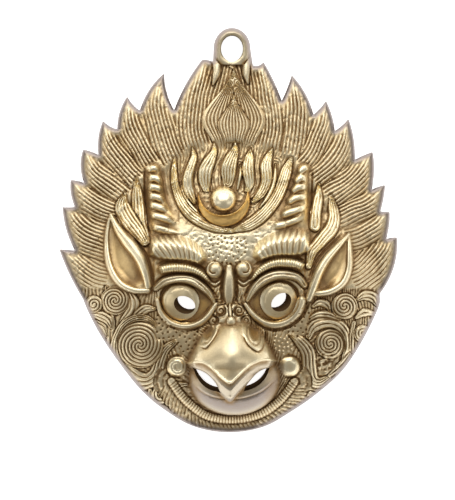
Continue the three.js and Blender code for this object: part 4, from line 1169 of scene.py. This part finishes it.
def hollow_cutter():
    """A ball pressed to the egg plan of the hollow, with the beak's pocket raised in it."""
    bpy.ops.object.select_all(action="DESELECT")
    bpy.ops.mesh.primitive_uv_sphere_add(segments=72, ring_count=36, radius=1)
    cutter = bpy.context.object
    for vertex in cutter.data.vertices:
        x, y, z = vertex.co
        px = HOLLOW["x"] + x * HOLLOW["half"]
        py = HOLLOW["y"] + y * (HOLLOW["up"] if y > 0 else HOLLOW["down"])
        pocket = math.hypot(px - BEAK_POCKET["x"], py - BEAK_POCKET["y"]) / BEAK_POCKET["radius"]
        roof = float(egg(HOLLOW, np.array(px), np.array(py)))
        roof += BEAK_POCKET["height"] * math.exp(-pocket * pocket)
        vertex.co = (px, py, roof if z > -1e-4 else 3 * z)
    return cutter


def leaning_cutter(rim, lean, level):
    """A closed tube through the wall, which leans with it."""
    bpy.ops.object.select_all(action="DESELECT")
    bpy.ops.mesh.primitive_cylinder_add(vertices=len(rim), radius=1, depth=TUBE_TOP - TUBE_FOOT)
    cutter = bpy.context.object
    for vertex in cutter.data.vertices:
        turn = round(math.atan2(vertex.co.x, vertex.co.y) / (2 * math.pi) * len(rim)) % len(rim)
        z = TUBE_TOP if vertex.co.z > 0 else TUBE_FOOT
        x, y = rim[turn]
        vertex.co = (x + lean[0] * (z - level), y + lean[1] * (z - level), z)
    pick(cutter)
    bpy.ops.object.mode_set(mode="EDIT")
    bpy.ops.mesh.select_all(action="SELECT")
    bpy.ops.mesh.normals_make_consistent(inside=False)
    bpy.ops.object.mode_set(mode="OBJECT")
    return cutter


def oval(x, y, rx, ry, turn, count=64):
    a = np.linspace(0, 2 * math.pi, count, endpoint=False)
    px, py = rx * np.cos(a), ry * np.sin(a)
    c, s = math.cos(turn), math.sin(turn)
    return [(x + u * c - v * s, y + u * s + v * c) for u, v in zip(px, py)]


def slit(corners, count=32):
    outer, upper, inner, lower = (np.array(c) for c in corners)
    t = np.linspace(0, 1, count, endpoint=False)[:, None]
    there = (1 - t) ** 2 * outer + 2 * t * (1 - t) * upper + t * t * inner
    back = (1 - t) ** 2 * inner + 2 * t * (1 - t) * lower + t * t * outer
    return [tuple(p) for p in np.vstack([there, back])]


def cut_away(piece, cutter):
    pick(piece)
    modifier = piece.modifiers.new("cut", "BOOLEAN")
    modifier.operation = "DIFFERENCE"
    modifier.solver = "MANIFOLD"
    modifier.object = cutter
    bpy.ops.object.modifier_apply(modifier=modifier.name)
    bpy.data.objects.remove(cutter)


def on_front(place):
    """Which places lie on the carved front, and which on the wall round the outline."""
    x, y = place[:, 0], place[:, 1]
    front = np.abs(place[:, 2] - sample(Z, x, y)) < 0.06 + 0.2 * sample(SLOPE, x, y)
    return front, sample(REACH, x, y) < 0.3


def pierce(piece):
    for eye in EYES:
        hole = oval(*eye["hole"], EYE["hole_x"], EYE["hole_y"], eye["turn"])
        cut_away(piece, leaning_cutter(hole, eye["lean"], HOLE_LEVEL["eye"]))
    for mouth in MOUTH_HOLES:
        cut_away(piece, leaning_cutter(slit(mouth["corners"]), mouth["lean"], HOLE_LEVEL["mouth"]))
    ring = oval(RING["x"], RING["y"] - 0.1, RING["hole_x"], RING["hole_y"], 0)
    cut_away(piece, leaning_cutter(ring, (0, 0), 0))


def thin_out(piece):
    """Fewer faces where the sheet is smooth."""
    pick(piece)
    if len(piece.data.polygons) > FACES_KEPT:
        thin = piece.modifiers.new("thin", "DECIMATE")
        thin.ratio = FACES_KEPT / len(piece.data.polygons)
        bpy.ops.object.modifier_apply(modifier=thin.name)


def read_places(items, name):
    values = np.zeros(len(items) * 3)
    items.foreach_get(name, values)
    return values.reshape(-1, 3)


def paint(piece, place):
    """The material's attributes. What isn't carved front has rest values."""
    front, rim = on_front(place)
    sheets = dict(oxide_and_shade=(OXIDE_AND_SHADE, 0.1), polish_and_highlight=(POLISH_AND_HIGHLIGHT, 0.0), warm=(WARM, 0.0), grey_reflection_and_rim=(GREY_REFLECTION_AND_RIM, 0.7 * rim))
    for name, (sheet, rest) in sheets.items():
        layer = piece.data.attributes.new(name, "FLOAT", "POINT")
        layer.data.foreach_set("value", np.where(front, sample(sheet, place[:, 0], place[:, 1]), rest))
    # Painted shade: faces off the carved front and rim (the hole walls, the hollow and the back) take a
    # dark, dull brown with no sheen.
    front, rim = on_front(read_places(piece.data.polygons, "center"))
    layer = piece.data.attributes.new("inner", "FLOAT", "FACE")
    layer.data.foreach_set("value", np.where(front | rim, 0.0, 1.0))


def cast_mask():
    piece = new_mesh("brass_mask", *trimmed_sheet())
    wall_down(piece)
    cut_away(piece, hollow_cutter())
    pierce(piece)
    thin_out(piece)
    piece.data.materials.clear()
    bpy.ops.object.shade_smooth_by_angle(angle=math.radians(55))
    place = read_places(piece.data.vertices, "co")
    paint(piece, place)
    place[:, :2] -= (EDGE.max(0) + EDGE.min(0)) / 2
    piece.data.vertices.foreach_set("co", (place * MM).ravel())
    piece.data.update()
    return piece


# Materials. The colours of old cast brass, with a painted mauve-grey reflection and a dark brown of painted
# shade among them, and the size of its grain and its clouds.
BRASS = dict(deep="#D9C396", light="#E6D4AC", polished_and_highlight="#F4E9C8", warm="#DDB670", reflected_mauve="#8F8785",
             oxide_and_shade_brown="#A1855F", core="#54402A")
GRAIN = 0.28
CLOUD = 5
WHITE = "#FFFFFF"


def srgb(code):
    """An sRGB hex colour as linear values."""
    parts = [int(code[i:i + 2], 16) / 255 for i in (1, 3, 5)]
    return [c / 12.92 if c <= 0.04045 else ((c + 0.055) / 1.055) ** 2.4 for c in parts] + [1.0]


def add_node(tree, kind, settings=None, **inputs):
    """A node with its settings, and its inputs as values or links."""
    node = tree.nodes.new(kind)
    for key, value in (settings or {}).items():
        setattr(node, key, value)
    for key, value in inputs.items():
        name = key.replace("_", " ")
        socket = node.inputs[int(key[1:])] if key[0] == "i" and key[1:].isdigit() else node.inputs[name]
        if isinstance(value, bpy.types.NodeSocket):
            tree.links.new(value, socket)
        else:
            socket.default_value = value
    return node


def new_material(name):
    material = bpy.data.materials.new(name)
    material.use_nodes = True
    tree = material.node_tree
    tree.nodes.clear()
    return material, tree


def sheet_value(tree, name):
    return add_node(tree, "ShaderNodeAttribute", dict(attribute_name=name)).outputs["Fac"]


def blend(tree, share, under, over):
    """The under colour where share is 0, the over colour where it is 1."""
    return add_node(tree, "ShaderNodeMix", dict(data_type="RGBA"), i0=share, i6=under, i7=over).outputs[2]


def mottle(tree, place, size, detail):
    node = add_node(tree, "ShaderNodeTexNoise", Vector=place, Scale=1 / (size * MM), Detail=detail)
    return node.outputs["Fac"]


def antique_cast_brass():
    """Lost-wax brass: pale where hands rub it bright, with a painted highlight on bare skin and flames;
    brown patina left in every cut, with painted shade at the chin's foot and the lip ends; a painted
    mauve-grey reflection on chin and lips; and a dark, dull brown of painted shade on the hole walls, the
    hollow and the back.
    """
    material, tree = new_material("antique_cast_brass")
    place = add_node(tree, "ShaderNodeTexCoord").outputs["Object"]
    grain = mottle(tree, place, GRAIN, 3.0)
    cloud = mottle(tree, place, CLOUD, 2.0)
    tone = add_node(tree, "ShaderNodeValToRGB", Fac=cloud)
    for element, position, colour in zip(tone.color_ramp.elements, (0.35, 0.65), ("deep", "light")):
        element.position = position
        element.color = srgb(BRASS[colour])
    speckle = add_node(tree, "ShaderNodeMath", dict(operation="MULTIPLY_ADD"), i0=grain, i1=0.5, i2=-0.25)
    # Patina in the cuts, grain speckle, and the painted shade of the chin's foot and lip ends: all of it
    # turns the colour brown and the surface rougher.
    darkening = add_node(
        tree, "ShaderNodeMath", dict(operation="ADD", use_clamp=True),
        i0=sheet_value(tree, "oxide_and_shade"), i1=speckle.outputs[0],
    ).outputs[0]
    inner = sheet_value(tree, "inner")
    colour = tone.outputs["Color"]
    layers = (
        (sheet_value(tree, "polish_and_highlight"), "polished_and_highlight"), (sheet_value(tree, "warm"), "warm"),
        (sheet_value(tree, "grey_reflection_and_rim"), "reflected_mauve"), (darkening, "oxide_and_shade_brown"), (inner, "core"),
    )
    for share, over in layers:
        colour = blend(tree, share, colour, srgb(BRASS[over]))
    # Painted shade: where inner is 1 the surface is a dark brown that is not metal and has no specular
    # sheen.
    metal = add_node(tree, "ShaderNodeMapRange", Value=inner, To_Min=1.0, To_Max=0.0)
    rough = add_node(tree, "ShaderNodeMapRange", Value=darkening, To_Min=0.32, To_Max=0.62)
    bump_map = add_node(tree, "ShaderNodeBump", Strength=0.25, Distance=0.05 * MM, Height=grain)
    shader = add_node(
        tree, "ShaderNodeBsdfPrincipled", Base_Color=colour, Metallic=metal.outputs["Result"],
        Specular_IOR_Level=0.0, Roughness=rough.outputs["Result"], Normal=bump_map.outputs["Normal"],
    )
    add_node(tree, "ShaderNodeOutputMaterial", Surface=shader.outputs["BSDF"])
    return material


def opal_light_table():
    """Opal acrylic lit from below: an even pale field that shines through the eyes."""
    material, tree = new_material("opal_light_table")
    shader = add_node(
        tree, "ShaderNodeBsdfPrincipled", Base_Color=srgb(WHITE), Roughness=0.9,
        Emission_Color=srgb(WHITE), Emission_Strength=0.95,
    )
    add_node(tree, "ShaderNodeOutputMaterial", Surface=shader.outputs["BSDF"])
    return material


def floor():
    bpy.ops.object.select_all(action="DESELECT")
    bpy.ops.mesh.primitive_plane_add(size=4, location=(0, 0, 0))
    board = bpy.context.object
    board.name = "board"
    board.data.materials.append(opal_light_table())


# Camera over the mask, at the photo's straight view, and soft studio light.
PHOTO_HEIGHT = 500
MM_PER_PIXEL = 0.16
CAMERA_HEIGHT = 1.6
VIEW_CENTRE = (-0.16, -3.2)
REFERENCE_LEVEL = 2.5

# Softboxes, each turned to the mask: place, size, power. The air of the room is warm grey.
SOFTBOXES = dict(
    top_box=((-0.03, 0.50, 0.34), (1.0, 0.6), 3.8),
    left_box=((-0.55, 0.0, 0.4), (0.25, 0.5), 0.35),
    right_box=((0.55, 0.0, 0.4), (0.25, 0.5), 0.3),
)
ROOM_COLOUR = "#E4E0DA"
ROOM_STRENGTH = 0.46


def camera():
    data = bpy.data.cameras.new("camera")
    eye = bpy.data.objects.new("camera", data)
    bpy.context.scene.collection.objects.link(eye)
    eye.location = (VIEW_CENTRE[0] * MM, VIEW_CENTRE[1] * MM, CAMERA_HEIGHT)
    data.sensor_fit = "VERTICAL"
    data.sensor_height = 24
    seen = PHOTO_HEIGHT * MM_PER_PIXEL * MM
    data.lens = data.sensor_height * (CAMERA_HEIGHT - REFERENCE_LEVEL * MM) / seen
    data.clip_start = 0.01
    bpy.context.scene.camera = eye


def softbox(name, place, size, power):
    data = bpy.data.lights.new(name, "AREA")
    data.shape = "RECTANGLE"
    data.size, data.size_y = size
    data.energy = power
    lamp = bpy.data.objects.new(name, data)
    lamp.location = place
    lamp.rotation_euler = (-Vector(place)).to_track_quat("-Z", "Y").to_euler()
    bpy.context.scene.collection.objects.link(lamp)


def studio():
    bpy.context.scene.view_settings.view_transform = "Standard"
    world = bpy.data.worlds.new("studio")
    world.use_nodes = True
    background = world.node_tree.nodes["Background"]
    background.inputs["Color"].default_value = srgb(ROOM_COLOUR)
    background.inputs["Strength"].default_value = ROOM_STRENGTH
    bpy.context.scene.world = world
    for name, box in SOFTBOXES.items():
        softbox(name, *box)


camera()
mask = cast_mask()
mask.data.materials.append(antique_cast_brass())
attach(mask, "root")
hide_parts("mask")
floor()
studio()
